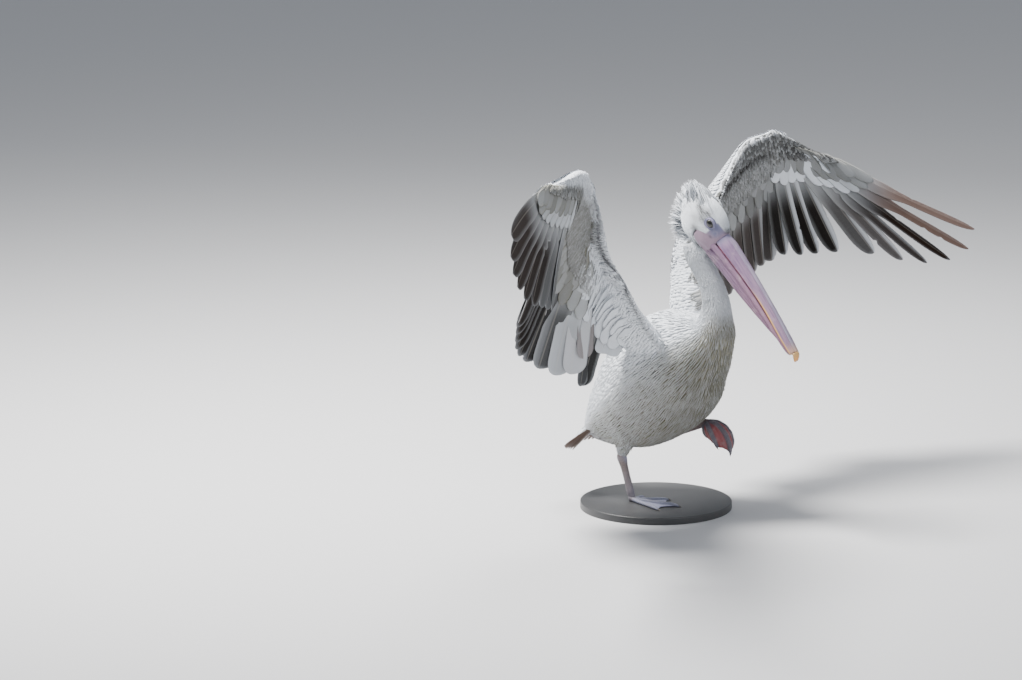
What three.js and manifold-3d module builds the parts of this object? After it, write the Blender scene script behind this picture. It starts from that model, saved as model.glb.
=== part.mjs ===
// A pelican, life size, striding on one foot with both wings raised, on a plain round display base.
// Millimetres, +Z up. The bird faces +X, and its left side is +Y. The origin is the centre of the base's underside.
import * as THREE from "three";
import { mergeVertices } from "three/addons/utils/BufferGeometryUtils.js";
import Module from "manifold-3d";

const wasm = await Module();
wasm.setup();

// ---- Driving dimensions ----
const GAP = 0.4; // left between two pieces that meet
const BASE = { radius: 190, thickness: 18, bevel: 3, sides: 40 };
const FOOT_TO_BASE = { x: 45, y: -12 }; // base centre, in the bird's own frame
const BILL_LENGTH = 356; // forehead feathers to the tip of the nail
const EYE_RADIUS = 9.5;

const COLOURS = {
  plumage: { color: 0xe9e8e6, roughness: 0.85, metalness: 0 },
  flightFeather: { color: 0x5d5652, roughness: 0.7, metalness: 0 },
  secondaryFeather: { color: 0xa39d97, roughness: 0.75, metalness: 0 },
  tailFeather: { color: 0xb9a48e, roughness: 0.8, metalness: 0 },
  upperBill: { color: 0xc9b2bf, roughness: 0.4, metalness: 0 },
  lowerBill: { color: 0xbfa0b0, roughness: 0.45, metalness: 0 },
  pouch: { color: 0xb9b6b8, roughness: 0.5, metalness: 0 },
  nail: { color: 0xd9913f, roughness: 0.4, metalness: 0 },
  eye: { color: 0x1c1a18, roughness: 0.1, metalness: 0 },
  foot: { color: 0x8f95a8, roughness: 0.6, metalness: 0 },
  stand: { color: 0x3b3835, roughness: 0.6, metalness: 0 },
};

// ---- Interpolation ----
const asArray = (v) => (Array.isArray(v) ? v : [v]);

// A smooth curve through stops [[t, value], ...]; a value is a number or a list of numbers.
function along(t, stops) {
  const last = stops.length - 1;
  const x = THREE.MathUtils.clamp(t, stops[0][0], stops[last][0]);
  let i = 0;
  while (i < last - 1 && x > stops[i + 1][0]) i += 1;
  const [t0, t1] = [stops[i][0], stops[i + 1][0]];
  const span = t1 - t0;
  const u = (x - t0) / span;
  const value = (k, c) => asArray(stops[k][1])[c];
  const slope = (k, c) => {
    const [a, b] = [Math.max(k - 1, 0), Math.min(k + 1, last)];
    return (value(b, c) - value(a, c)) / (stops[b][0] - stops[a][0]);
  };
  const hermite = (c) => {
    const [p, q] = [value(i, c), value(i + 1, c)];
    const [m, n] = [slope(i, c) * span, slope(i + 1, c) * span];
    const [u2, u3] = [u * u, u * u * u];
    return (2 * u3 - 3 * u2 + 1) * p + (u3 - 2 * u2 + u) * m + (3 * u2 - 2 * u3) * q + (u3 - u2) * n;
  };
  const parts = asArray(stops[i][1]).map((_, c) => hermite(c));
  return parts.length === 1 ? parts[0] : parts;
}

const vec = (a) => new THREE.Vector3(...a);
const vecAlong = (t, stops) => vec(along(t, stops));
const unitAlong = (t, stops) => vecAlong(t, stops).normalize();

// ---- Solids ----
// A closed cylinder whose every vertex is moved to place(t, angle, r): t runs from one end to the other,
// angle goes round, and r is 1 on the wall and 0 at the middle of an end.
function swept(sides, rings, place) {
  const geometry = new THREE.CylinderGeometry(1, 1, 1, sides, rings);
  const position = geometry.getAttribute("position");
  for (let i = 0; i < position.count; i += 1) {
    const [x, y, z] = [position.getX(i), position.getY(i), position.getZ(i)];
    const p = place(y + 0.5, Math.atan2(z, x), Math.min(1, Math.hypot(x, z)));
    position.setXYZ(i, p.x, p.y, p.z);
  }
  return solid(geometry);
}

function solid(geometry) {
  const bare = geometry.clone();
  bare.deleteAttribute("normal");
  bare.deleteAttribute("uv");
  const merged = mergeVertices(bare, 1e-3);
  const triVerts = new Uint32Array(merged.index.array);
  const build = () =>
    new wasm.Manifold(new wasm.Mesh({ numProp: 3, vertProperties: merged.attributes.position.array, triVerts }));
  const made = build();
  if (made.volume() > 0) return made;
  for (let i = 0; i < triVerts.length; i += 3) {
    [triVerts[i + 1], triVerts[i + 2]] = [triVerts[i + 2], triVerts[i + 1]];
  }
  return build();
}

const united = (pieces) => pieces.reduce((whole, piece) => whole.add(piece));
const largest = (made) => made.decompose().reduce((a, b) => (a.volume() > b.volume() ? a : b));

// A tube round a curve in space. stops give [t, [x, y, z, half width across, half depth]].
// side is the direction that the half width is measured along.
function limb(stops, { side = [0, 1, 0], sides = 12, rings = 8, from = 0, to = 1, grow = 0 }) {
  const centre = (t) => vec(along(t, stops).slice(0, 3));
  const across = vec(side).normalize();
  return swept(sides, rings, (s, angle, r) => {
    const t = from + (to - from) * s;
    const step = 0.01;
    const forward = centre(Math.min(t + step, 1)).sub(centre(Math.max(t - step, 0))).normalize();
    const depth = new THREE.Vector3().crossVectors(forward, across).normalize();
    const width = new THREE.Vector3().crossVectors(depth, forward).normalize();
    const [halfWidth, halfDepth] = along(t, stops).slice(3);
    const push = forward.clone().multiplyScalar(grow * (s < 0.001 ? -1 : s > 0.999 ? 1 : 0));
    return centre(t)
      .add(push)
      .addScaledVector(width, Math.cos(angle) * r * (halfWidth + grow))
      .addScaledVector(depth, Math.sin(angle) * r * (halfDepth + grow));
  });
}

// ---- Trunk and neck: one body line from the tail to the head ----
// [t, [x, y, z, half width, half depth]]
const BODY_LINE = [
  [0.0, [-152, 0, 162, 26, 18]],
  [0.04, [-128, 0, 173, 52, 48]],
  [0.1, [-92, 0, 194, 84, 82]],
  [0.2, [-30, 0, 236, 118, 126]],
  [0.32, [38, 0, 296, 136, 150]],
  [0.42, [86, 0, 343, 136, 150]],
  [0.52, [129, 0, 382, 122, 132]],
  [0.6, [168, 0, 413, 97, 96]],
  [0.67, [196, 0, 444, 64, 62]],
  [0.72, [203, 0, 474, 45, 46]],
  [0.79, [203, 0, 515, 36, 37]],
  [0.86, [192, 0, 556, 31, 32]],
  [0.93, [167, 0, 600, 29, 30]],
  [0.97, [147, 0, 632, 31, 34]],
  [1.0, [137, 0, 662, 34, 42]],
];
const NECK_CUTS = [0.69, 0.8, 0.9]; // where trunk, lower, middle and upper neck part
const BODY_LINE_LENGTH = 850;
const gapOnBodyLine = GAP / BODY_LINE_LENGTH;

const trunk = (grow) => limb(BODY_LINE, { sides: 20, rings: 11, from: 0, to: NECK_CUTS[0], grow });
const neckPart = (from, to, grow = 0) =>
  limb(BODY_LINE, { sides: 18, rings: 4, from: from + gapOnBodyLine / 2, to: to - gapOnBodyLine / 2, grow });

// ---- Head frame: a runs from the crown to the bill, b from the throat to the forehead ----
const HEAD_PLACE = {
  centre: [160, 724], // x and z before the head is turned
  pitch: THREE.MathUtils.degToRad(45), // nose down
  turn: THREE.MathUtils.degToRad(-12), // to the bird's right
  pivot: 150, // x of the neck's top, which the head turns about
};
function onHead(a, b, side) {
  const { centre, pitch, turn, pivot } = HEAD_PLACE;
  const forward = centre[0] - pivot + a * Math.cos(pitch) + b * Math.sin(pitch);
  const height = centre[1] - a * Math.sin(pitch) + b * Math.cos(pitch);
  return new THREE.Vector3(forward, side, height)
    .applyAxisAngle(new THREE.Vector3(0, 0, 1), turn)
    .add(new THREE.Vector3(pivot, 0, 0));
}

// [a, [forehead side b, throat side b, half width]]
const HEAD_SECTIONS = [
  [-66, [14, -2, 7]],
  [-58, [37, -26, 20]],
  [-40, [54, -47, 30]],
  [-10, [65, -60, 37.5]],
  [20, [68, -59, 38.5]],
  [45, [65, -52, 35]],
  [68, [56, -47, 29]],
  [84, [46, -43, 25]],
];
function headSolid(grow) {
  const [first, last] = [HEAD_SECTIONS[0][0], HEAD_SECTIONS.at(-1)[0]];
  return swept(18, 9, (t, angle, r) => {
    const a = first - grow + (last - first + 2 * grow) * (1 - (1 - t) ** 1.25);
    const [high, low, halfWidth] = along(a, HEAD_SECTIONS);
    const [middle, halfDepth] = [(high + low) / 2, (high - low) / 2];
    const cap = t < 0.001 ? r * 0.999 : r;
    return onHead(a, middle + Math.sin(angle) * cap * (halfDepth + grow), Math.cos(angle) * cap * (halfWidth + grow));
  });
}
const EYE = { a: 38, b: 35, side: 26.5 };
function eyeSolid(side, grow) {
  const ball = new THREE.SphereGeometry(EYE_RADIUS + grow, 10, 6);
  ball.translate(...onHead(EYE.a, EYE.b, side * EYE.side).toArray());
  return solid(ball);
}

// The ragged crest: pointed tufts from the crown down the nape. Each is [tip a, tip b, root a, root b].
const CREST = {
  tufts: [
    [-93, 43, -52, 22],
    [-97, 12, -56, 8],
    [-93, -15, -55, -8],
    [-85, -42, -48, -20],
    [-72, -66, -42, -34],
    [-58, -84, -30, -44],
    [-36, -98, -14, -52],
    [-14, -108, 2, -56],
  ],
  halfWidth: 20,
  halfThickness: 19,
};
function crestSolid() {
  const tufts = CREST.tufts.map(([tipA, tipB, rootA, rootB]) => {
    const [da, db] = [tipA - rootA, tipB - rootB];
    const length = Math.hypot(da, db);
    const across = [-db / length, da / length];
    return swept(4, 2, (t, angle, r) => {
      const size = r * (1 - 0.96 * t ** 1.3);
      const wide = Math.cos(angle) * size * CREST.halfWidth;
      const a = rootA + da * t + across[0] * wide;
      const b = rootB + db * t + across[1] * wide;
      return onHead(a, b, Math.sin(angle) * size * CREST.halfThickness);
    });
  });
  return united(tufts);
}

// ---- Bill ----
const BILL = {
  base: [85, 47], // a and b where the forehead feathers meet the bill
  droop: THREE.MathUtils.degToRad(6), // below the head's own axis
  rise: 6, // how far the culmen bows up in the middle
};
function onBill(length, drop, side = 0) {
  const share = THREE.MathUtils.clamp(length / BILL_LENGTH, 0, 1);
  const below = drop - BILL.rise * Math.sin(Math.PI * share);
  const [c, s] = [Math.cos(BILL.droop), Math.sin(BILL.droop)];
  return onHead(BILL.base[0] + length * c - below * s, BILL.base[1] - length * s - below * c, side);
}

// [share of the length, [half width, thickness of the roof, tomium's drop below the culmen]]
const UPPER_BILL = [
  [0, [24, 26, 35]],
  [0.12, [22.5, 21, 30]],
  [0.25, [20, 17, 26.5]],
  [0.4, [17.5, 14, 22.5]],
  [0.58, [16, 11.5, 18.5]],
  [0.84, [17, 10, 15]],
  [0.95, [14, 9, 13]],
  [1, [9, 8, 12]],
];
const NAIL = {
  from: 0.95,
  hook: 12,
  middle: 6.5, // below the culmen, where the nail starts
  clear: 2 * GAP,
  sections: [[0, [12, 6]], [0.4, [10.5, 7]], [0.8, [6.5, 6]], [1, [2.5, 2.5]]], // half width and half depth
};
const PALATE = 4; // the roof's lower face hangs this far below the tomia
const SHOULDER = 0.25; // how much narrower the roof is than the bill's edge
const BILL_ROOT = -24; // the bill's roots reach back under the face

function upperBill() {
  return swept(12, 9, (t, angle, r) => {
    const length = BILL_ROOT + (BILL_LENGTH * NAIL.from - BILL_ROOT) * t;
    const [halfWidth, roof, drop] = along(Math.max(0, length / BILL_LENGTH), UPPER_BILL);
    const [c, s] = [Math.cos(angle) * r, Math.sin(angle) * r];
    const height = s > 0 ? s * drop : s * PALATE;
    const shoulder = s > 0 ? 1 - SHOULDER * s * (1 - roof / drop) : 1;
    return onBill(length, drop - height, c * halfWidth * shoulder);
  });
}
function nail() {
  return swept(10, 5, (t, angle, r) => {
    const length = BILL_LENGTH * NAIL.from + NAIL.clear + BILL_LENGTH * (1 - NAIL.from) * Math.min(1, 1.2 * t);
    const middle = NAIL.middle + NAIL.hook * t ** 1.6;
    const [halfWidth, halfDepth] = along(t, NAIL.sections);
    return onBill(length, middle - Math.sin(angle) * r * halfDepth, Math.cos(angle) * r * halfWidth);
  });
}

// The lower mandible is two slender rami that meet at the tip, with the pouch's skin slung between them.
const RAMUS = [
  // [share, [half spread, half width, half depth]]
  [0, [19.5, 5, 9]],
  [0.3, [15, 4.5, 7.5]],
  [0.7, [11.5, 4, 5.5]],
  [0.9, [6, 4, 4.5]],
  [0.96, [3, 3, 3]],
];
const RAMUS_REACH = 0.945;
const lowerLine = (share) => along(Math.max(0, share), UPPER_BILL)[2] + PALATE + 2 * GAP;
function ramus(side) {
  return swept(6, 8, (t, angle, r) => {
    const length = BILL_ROOT + (BILL_LENGTH * RAMUS_REACH - BILL_ROOT) * t;
    const share = Math.max(0, length / BILL_LENGTH);
    const [spread, halfWidth, halfDepth] = along(share, RAMUS);
    const drop = lowerLine(share) + halfDepth;
    return onBill(length, drop - Math.sin(angle) * r * halfDepth, side * spread + Math.cos(angle) * r * halfWidth);
  });
}
// [share, [half width, depth of the lowest fold below the culmen]]
const POUCH = [
  [0, [21, 92]],
  [0.22, [18, 81]],
  [0.38, [15, 74]],
  [0.53, [12, 63]],
  [0.67, [9.5, 50]],
  [0.81, [7, 35.5]],
  [0.9, [4, 28]],
];
const POUCH_ROOF = 7; // the pouch hangs from inside the rami, this far below their upper edge
const POUCH_REACH = 0.9;
const POUCH_TAPER = 0.3; // how much narrower it is at its fold
function pouchSolid() {
  return swept(12, 8, (t, angle, r) => {
    const length = BILL_ROOT + (BILL_LENGTH * POUCH_REACH - BILL_ROOT) * t;
    const share = Math.max(0, length / BILL_LENGTH);
    const [halfWidth, fold] = along(share, POUCH);
    const top = lowerLine(share) + POUCH_ROOF;
    const [middle, halfDepth] = [(top + fold) / 2, (fold - top) / 2];
    const s = Math.sin(angle) * r;
    const belly = s < 0 ? 1 + POUCH_TAPER * s : 1;
    return onBill(length, middle - s * halfDepth, Math.cos(angle) * r * halfWidth * belly);
  });
}

// ---- Wings ----
// Each wing: its joints, two points that the leading edge passes through, and the directions that the flight
// feathers point in, from the innermost tertial to the secondary at the wrist, then over the ten primaries.
const WINGS = {
  right: {
    side: -1,
    joints: { shoulder: [88, -72, 398], elbow: [-30, -205, 632], wrist: [64, -430, 880], handEnd: [84, -612, 898] },
    edge: { shoulder: [112, -92, 418], elbow: [46, -226, 622], forearm: [68, -366, 812] },
    secondary: [[0, [-115, -30, -190]], [0.2, [-62, -16, -250]], [0.36, [-30, -16, -312]], [0.62, [-150, -34, -336]],
      [1, [-140, -72, -335]]],
    primary: [[0, [130, -560, -820]], [0.35, [187, -746, -639]], [0.65, [279, -910, -307]], [1, [348, -938, 20]]],
  },
  left: {
    side: 1,
    joints: { shoulder: [88, 72, 398], elbow: [15, 200, 632], wrist: [105, 470, 850], handEnd: [136, 646, 796] },
    edge: { shoulder: [122, 92, 420], elbow: [68, 224, 654], forearm: [80, 372, 846] },
    secondary: [[0, [-115, 130, -190]], [0.34, [-6, 205, -225]], [0.62, [-60, 180, -290]], [1, [-49, 135, -296]]],
    primary: [[0, [-40, 310, -950]], [0.33, [105, 540, -830]], [0.46, [320, 570, -750]], [0.7, [455, 628, -630]],
      [1, [484, 780, -400]]],
  },
};
const SECONDARIES = 16; // tertials included
const PRIMARIES = 10;
const SECONDARY_LENGTH = [[0, 190], [0.3, 300], [0.5, 360], [0.7, 395], [1, 380]];
const PRIMARY_LENGTH = [[0, 345], [0.35, 405], [0.47, 445], [0.7, 545], [0.85, 585], [1, 572]];
const NOTCH = { secondary: 20, inner: 34, fingers: 150 }; // how deep the gaps between the feather tips are
// Thickness of the flight feathers at root and tip, how far from the bone they start, how much they bow, and how
// far along them the wing's slope is read.
const SHEET = { root: 3.2, tip: 1.4, start: 20, bow: 10, middle: 180 };

// u runs along the arm, from the shoulder at 0 to the hand's end at 1.
const ARM = { shoulder: 0, firstFeather: 0.12, elbow: 0.35, forearm: 0.63, wrist: 0.79, handEnd: 1 };
const ARM_STEP = 0.03; // u on each side over which the wrist turns the feathers and the slope is read
const HAND_EDGE = [[ARM.wrist, 22], [ARM.handEnd, 16]]; // leading edge, ahead of the hand's bones
// [u, [how far the coverts reach over the flight feathers, half thickness]]
const ARM_SECTIONS = [
  [0, [64, 46]],
  [0.35, [104, 27]],
  [0.6, [132, 19]],
  [0.79, [135, 15]],
  [1, [175, 7]],
];

function wingPoint(wing, u) {
  const { shoulder, elbow, wrist, handEnd } = wing.joints;
  return vecAlong(u, [
    [ARM.shoulder, shoulder],
    [ARM.elbow, elbow],
    [ARM.wrist, wrist],
    [ARM.handEnd, handEnd],
  ]);
}
const secondaryShare = (u) => (u - ARM.firstFeather) / (ARM.wrist - ARM.firstFeather);
const primaryShare = (u) => (u - ARM.wrist) / (ARM.handEnd - ARM.wrist);
// The way the feathers point at u, turning from the secondaries to the primaries round the wrist.
function featherWay(wing, u) {
  const inner = unitAlong(THREE.MathUtils.clamp(secondaryShare(u), 0, 1), wing.secondary);
  const outer = unitAlong(THREE.MathUtils.clamp(primaryShare(u), 0, 1), wing.primary);
  const mix = THREE.MathUtils.smoothstep(u, ARM.wrist - ARM_STEP, ARM.wrist + ARM_STEP);
  return inner.lerp(outer, mix).normalize();
}
function featherLength(u) {
  const inner = along(THREE.MathUtils.clamp(secondaryShare(u), 0, 1), SECONDARY_LENGTH);
  const outer = along(THREE.MathUtils.clamp(primaryShare(u), 0, 1), PRIMARY_LENGTH);
  return u < ARM.wrist ? inner : outer;
}
// The wing's surface at u: its bone, the feathers' way there, and the normal of its upper side.
function wingFrame(wing, u) {
  const middle = (v) => wingPoint(wing, v).addScaledVector(featherWay(wing, v), SHEET.middle);
  const [before, after] = [Math.max(0, u - ARM_STEP), Math.min(ARM.handEnd, u + ARM_STEP)];
  const way = featherWay(wing, u);
  const spread = middle(after).sub(middle(before));
  const normal = new THREE.Vector3().crossVectors(spread, way).normalize().multiplyScalar(wing.side);
  return { centre: wingPoint(wing, u), way, normal };
}
// The leading edge at u: over the skin that spans from shoulder to wrist, then along the hand.
function leadingEdge(wing, u) {
  const ahead = (v) => {
    const frame = wingFrame(wing, v);
    return frame.centre.addScaledVector(frame.way, -along(v, HAND_EDGE));
  };
  if (u >= ARM.wrist) return ahead(u);
  return vecAlong(u, [
    [ARM.shoulder, wing.edge.shoulder],
    [ARM.elbow, wing.edge.elbow],
    [ARM.forearm, wing.edge.forearm],
    [ARM.wrist, ahead(ARM.wrist).toArray()],
  ]);
}
function armPart(wing, from, to, { grow = 0, trim = 0 }) {
  return swept(12, 5, (s, angle, r) => {
    const u = THREE.MathUtils.clamp(from + (to - from) * s, from + trim, to - trim);
    const { centre, way, normal } = wingFrame(wing, u);
    const [back, thick] = along(u, ARM_SECTIONS);
    const front = leadingEdge(wing, u).sub(centre);
    const [c, n] = [Math.cos(angle), Math.sin(angle)];
    const thickness = thick * (c > 0 ? 1 - 0.6 * c : 1) + grow;
    const chord = c > 0 ? way.clone().multiplyScalar(c * (back + grow)) : front.multiplyScalar(-c * (1 + grow / 20));
    const outward = new THREE.Vector3().crossVectors(normal, way).multiplyScalar(s < 0.001 ? wing.side : -wing.side);
    const push = s < 0.001 || s > 0.999 ? grow : 0;
    return centre.addScaledVector(chord, r).addScaledVector(normal, n * r * thickness).addScaledVector(outward, push);
  });
}

// The flight feathers from u = from to u = to, as one thin sheet with a notch between every two tips.
function flightFeathers(wing, from, to, count, { columns, rows, notch }) {
  const box = new THREE.BoxGeometry(1, 1, 1, count * columns, 1, rows);
  const position = box.getAttribute("position");
  for (let i = 0; i < position.count; i += 1) {
    const share = position.getX(i) + 0.5;
    const t = position.getZ(i) + 0.5;
    const u = from + (to - from) * share;
    const offCentre = Math.abs(2 * ((share * count) % 1) - 1); // 0 on a shaft, 1 between two feathers
    const { centre, way, normal } = wingFrame(wing, u);
    const length = featherLength(u) - notch(share) * offCentre ** 1.8;
    const reach = SHEET.start + (length - SHEET.start) * t;
    const thickness = SHEET.root + (SHEET.tip - SHEET.root) * t;
    const bow = SHEET.bow * Math.sin(Math.PI * t); // hollow below
    const p = centre.addScaledVector(way, reach).addScaledVector(normal, position.getY(i) * thickness + bow);
    position.setXYZ(i, p.x, p.y, p.z);
  }
  return solid(box);
}

// ---- Tail ----
const TAIL = {
  root: [-108, 0, 184],
  way: [-0.82, 0, -0.57],
  feathers: 10,
  halfFan: 36, // degrees
  length: 146,
  shorter: 0.14, // share that the outermost feathers fall short by
  notch: 9,
  halfRoot: 22,
  thick: { root: 5, tip: 2 },
  droop: 12, // of the outermost tips, so that the fan is arched
};
const UNDER_TAIL = { drop: 15, back: 96, tip: 8, halfWidth: 34 }; // the covert cushion below the tail's root
function tailSolid() {
  const box = new THREE.BoxGeometry(1, 1, 1, TAIL.feathers * 2, 1, 2);
  const position = box.getAttribute("position");
  const middle = vec(TAIL.way).normalize();
  const across = new THREE.Vector3(0, 1, 0);
  const up = new THREE.Vector3().crossVectors(middle, across).normalize();
  for (let i = 0; i < position.count; i += 1) {
    const share = position.getX(i) + 0.5;
    const t = position.getZ(i) + 0.5;
    const fan = 2 * share - 1;
    const way = middle.clone().applyAxisAngle(up, -THREE.MathUtils.degToRad(TAIL.halfFan) * fan);
    const offCentre = Math.abs(2 * ((share * TAIL.feathers) % 1) - 1);
    const reach = TAIL.length * (1 - TAIL.shorter * fan * fan) - TAIL.notch * offCentre;
    const thickness = TAIL.thick.root + (TAIL.thick.tip - TAIL.thick.root) * t;
    const p = vec(TAIL.root)
      .addScaledVector(across, fan * TAIL.halfRoot)
      .addScaledVector(way, reach * t)
      .addScaledVector(up, position.getY(i) * thickness - TAIL.droop * fan * fan * t);
    position.setXYZ(i, p.x, p.y, p.z);
  }
  const cushion = swept(10, 4, (t, angle, r) => {
    const size = Math.sqrt(Math.max(0, 1 - t * t));
    return vec(TAIL.root)
      .addScaledVector(middle, t * UNDER_TAIL.back)
      .addScaledVector(across, Math.cos(angle) * r * (UNDER_TAIL.tip + UNDER_TAIL.halfWidth * size))
      .addScaledVector(up, (Math.sin(angle) * r - 0.3) * (1 + UNDER_TAIL.drop * size));
  });
  return solid(box).add(cushion);
}

// ---- Legs ----
const FOOT = { right: [0, -55, 0], left: [148, 62, 192] }; // under each ankle
const FOOT_PITCH = THREE.MathUtils.degToRad(-28); // the lifted foot's own nose-up tilt
const LIFTED_CURL = 2.85; // radians that its toes curl down by, root to tip
const LEGS = {
  // [t, [x, y, z, half width, half depth]]
  right: {
    shank: [[0, [-12, -57, 190, 42, 48]], [0.5, [-22, -56, 148, 24, 27]], [1, [-30, -55, 112, 11, 12]]],
    tarsus: [[0, [-32, -55, 118, 8, 9]], [0.1, [-29, -55, 108, 9, 11]], [0.3, [-22, -55, 84, 6, 8]],
      [0.6, [-12, -55, 50, 5.5, 7.5]], [0.9, [-3, -55, 18, 7, 9]], [1, [0, -55, 8, 7, 9]]],
  },
  left: {
    shank: [[0, [78, 60, 236, 42, 48]], [0.5, [62, 61, 190, 27, 30]], [1, [44, 62, 152, 12, 13]]],
    tarsus: [[0, [36, 62, 150, 8, 9]], [0.1, [46, 62, 154, 9, 11]], [0.3, [68, 62, 162, 6, 8]],
      [0.6, [102, 62, 176, 5.5, 7.5]], [0.9, [134, 62, 191, 7, 9]], [1, [147, 62, 197, 7, 8]]],
  },
};
const TOES = [
  { length: 54, angle: 82, radius: 4.6 }, // hind toe, which the web joins to the inner one
  { length: 98, angle: 34, radius: 5.2 },
  { length: 138, angle: 2, radius: 5.6 },
  { length: 122, angle: -27, radius: 5.2 },
];
// The web's edge and scoop are shares of the toes' length; it reaches a little past the toes' centre lines.
const WEB = { thickness: 2.2, start: 0.1, edge: 0.88, scoop: 0.2, overlap: 1.05, step: 0.3, lift: 0.3 };

const TOE_PROFILE = [[0, 1.5], [0.2, 1], [0.8, 0.85], [0.9, 0.6], [1, 0.25]]; // share of the toe's radius

// A toe's centre line in the foot's own frame: x forward, y to the inner side, z up from the sole.
function toeLine(toe, curl) {
  const angle = THREE.MathUtils.degToRad(toe.angle);
  return (t) => {
    const bent = curl > 0;
    const ahead = bent ? (toe.length / curl) * Math.sin(curl * t) : toe.length * t;
    const reach = ahead - toe.radius; // the toes start just behind the ankle
    const fall = bent ? (toe.length / curl) * (1 - Math.cos(curl * t)) : 0;
    const height = toe.radius * (bent ? 1 : 0.85 * along(t, TOE_PROFILE));
    return new THREE.Vector3(Math.cos(angle) * reach, Math.sin(angle) * reach, height - fall);
  };
}
function toeSolid(toe, curl) {
  const line = toeLine(toe, curl);
  const forward = line(0.05).sub(line(0)).setZ(0).normalize();
  const side = new THREE.Vector3(-forward.y, forward.x, 0);
  return swept(6, curl > 0 ? 6 : 3, (t, angle, r) => {
    const p = line(t);
    const step = line(Math.min(1, t + 0.05)).sub(line(Math.max(0, t - 0.05))).normalize();
    const up = new THREE.Vector3().crossVectors(step, side);
    const size = r * toe.radius * along(t, TOE_PROFILE);
    p.addScaledVector(side, Math.cos(angle) * size).addScaledVector(up, Math.sin(angle) * size);
    if (curl === 0) p.z = Math.max(p.z, 0); // flat on the ground
    return p;
  });
}
// The web between two neighbouring toes: a thin curtain whose free edge is scooped in.
function webSolid(first, second, curl, lift) {
  const [a, b] = [toeLine(first, curl), toeLine(second, curl)];
  const box = new THREE.BoxGeometry(1, 1, 1, 2, 1, curl > 0 ? 3 : 2);
  const position = box.getAttribute("position");
  for (let i = 0; i < position.count; i += 1) {
    const across = 0.5 + position.getX(i) * WEB.overlap;
    const edge = WEB.edge - WEB.scoop * Math.sin(Math.PI * across);
    const t = WEB.start + (edge - WEB.start) * (position.getZ(i) + 0.5);
    const at = (share) => a(share).lerp(b(share), across);
    const normal = at(t + 0.03).sub(at(t - 0.03)).cross(b(t).sub(a(t))).normalize();
    const rise = (position.getY(i) + 0.5) * WEB.thickness + lift;
    const p = at(t);
    if (curl > 0) p.addScaledVector(normal, rise);
    else p.z = WEB.lift + rise;
    position.setXYZ(i, p.x, p.y, p.z);
  }
  return solid(box);
}
function footSolid(mirror, curl) {
  const toes = TOES.map((toe) => ({ ...toe, angle: toe.angle * mirror }));
  const pieces = toes.map((toe) => toeSolid(toe, curl));
  for (let k = 0; k + 1 < toes.length; k += 1) {
    const [first, second] = mirror > 0 ? [toes[k + 1], toes[k]] : [toes[k], toes[k + 1]];
    pieces.push(webSolid(first, second, curl, k * WEB.step));
  }
  return united(pieces);
}
// Moves a solid by turning it about the Y axis and then shifting it.
function placed(made, turnY, shift) {
  const matrix = new THREE.Matrix4().makeRotationY(turnY).setPosition(vec(shift));
  return made.transform(matrix.toArray());
}

// ---- Assembly ----
const materials = Object.fromEntries(
  Object.entries(COLOURS).map(([name, look]) => [name, new THREE.MeshStandardMaterial({ name, ...look })]),
);
const bird = new THREE.Group();
bird.position.set(-FOOT_TO_BASE.x, -FOOT_TO_BASE.y, BASE.thickness + GAP);

function addPiece(name, made, material, parent = bird) {
  const source = made.getMesh();
  const geometry = new THREE.BufferGeometry();
  const positions = new Float32Array(source.numVert * 3);
  for (let i = 0; i < source.numVert; i += 1) {
    positions.set(source.vertProperties.subarray(i * source.numProp, i * source.numProp + 3), i * 3);
  }
  geometry.setAttribute("position", new THREE.BufferAttribute(positions, 3));
  geometry.setIndex(new THREE.BufferAttribute(new Uint32Array(source.triVerts), 1));
  geometry.computeVertexNormals();
  const mesh = new THREE.Mesh(geometry, material);
  mesh.name = name;
  parent.add(mesh);
  return mesh;
}

const [grownTrunk, grownHead, head] = [trunk(GAP), headSolid(GAP), headSolid(0)];
const eyeSockets = [eyeSolid(1, GAP), eyeSolid(-1, GAP)];
addPiece("trunk", trunk(0), materials.plumage);
addPiece("neck_lower", neckPart(NECK_CUTS[0], NECK_CUTS[1]), materials.plumage);
addPiece("neck_middle", neckPart(NECK_CUTS[1], NECK_CUTS[2]), materials.plumage);
const neckTop = neckPart(NECK_CUTS[2], 1);
addPiece("neck_upper", largest(neckTop.subtract(grownHead)), materials.plumage);
addPiece("head", largest(eyeSockets.reduce((left, socket) => left.subtract(socket), head)), materials.plumage);
addPiece("eye_left", eyeSolid(1, 0), materials.eye);
addPiece("eye_right", eyeSolid(-1, 0), materials.eye);
const nape = neckPart(NECK_CUTS[2] - 0.02, 1, GAP);
addPiece("crest", largest(crestSolid().subtract(grownHead).subtract(nape)), materials.plumage);

addPiece("bill_upper", largest(upperBill().subtract(grownHead)), materials.upperBill);
addPiece("bill_nail", nail(), materials.nail);
const [ramusLeft, ramusRight] = [ramus(1), ramus(-1)];
const lowerJaw = ramusLeft.add(ramusRight);
const neckUnderThroat = neckPart(NECK_CUTS[1], 1, GAP);
addPiece("bill_lower", largest(lowerJaw.subtract(grownHead).subtract(neckUnderThroat)), materials.lowerBill);
addPiece("pouch", largest(pouchSolid().subtract(grownHead).subtract(neckUnderThroat)), materials.pouch);

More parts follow.
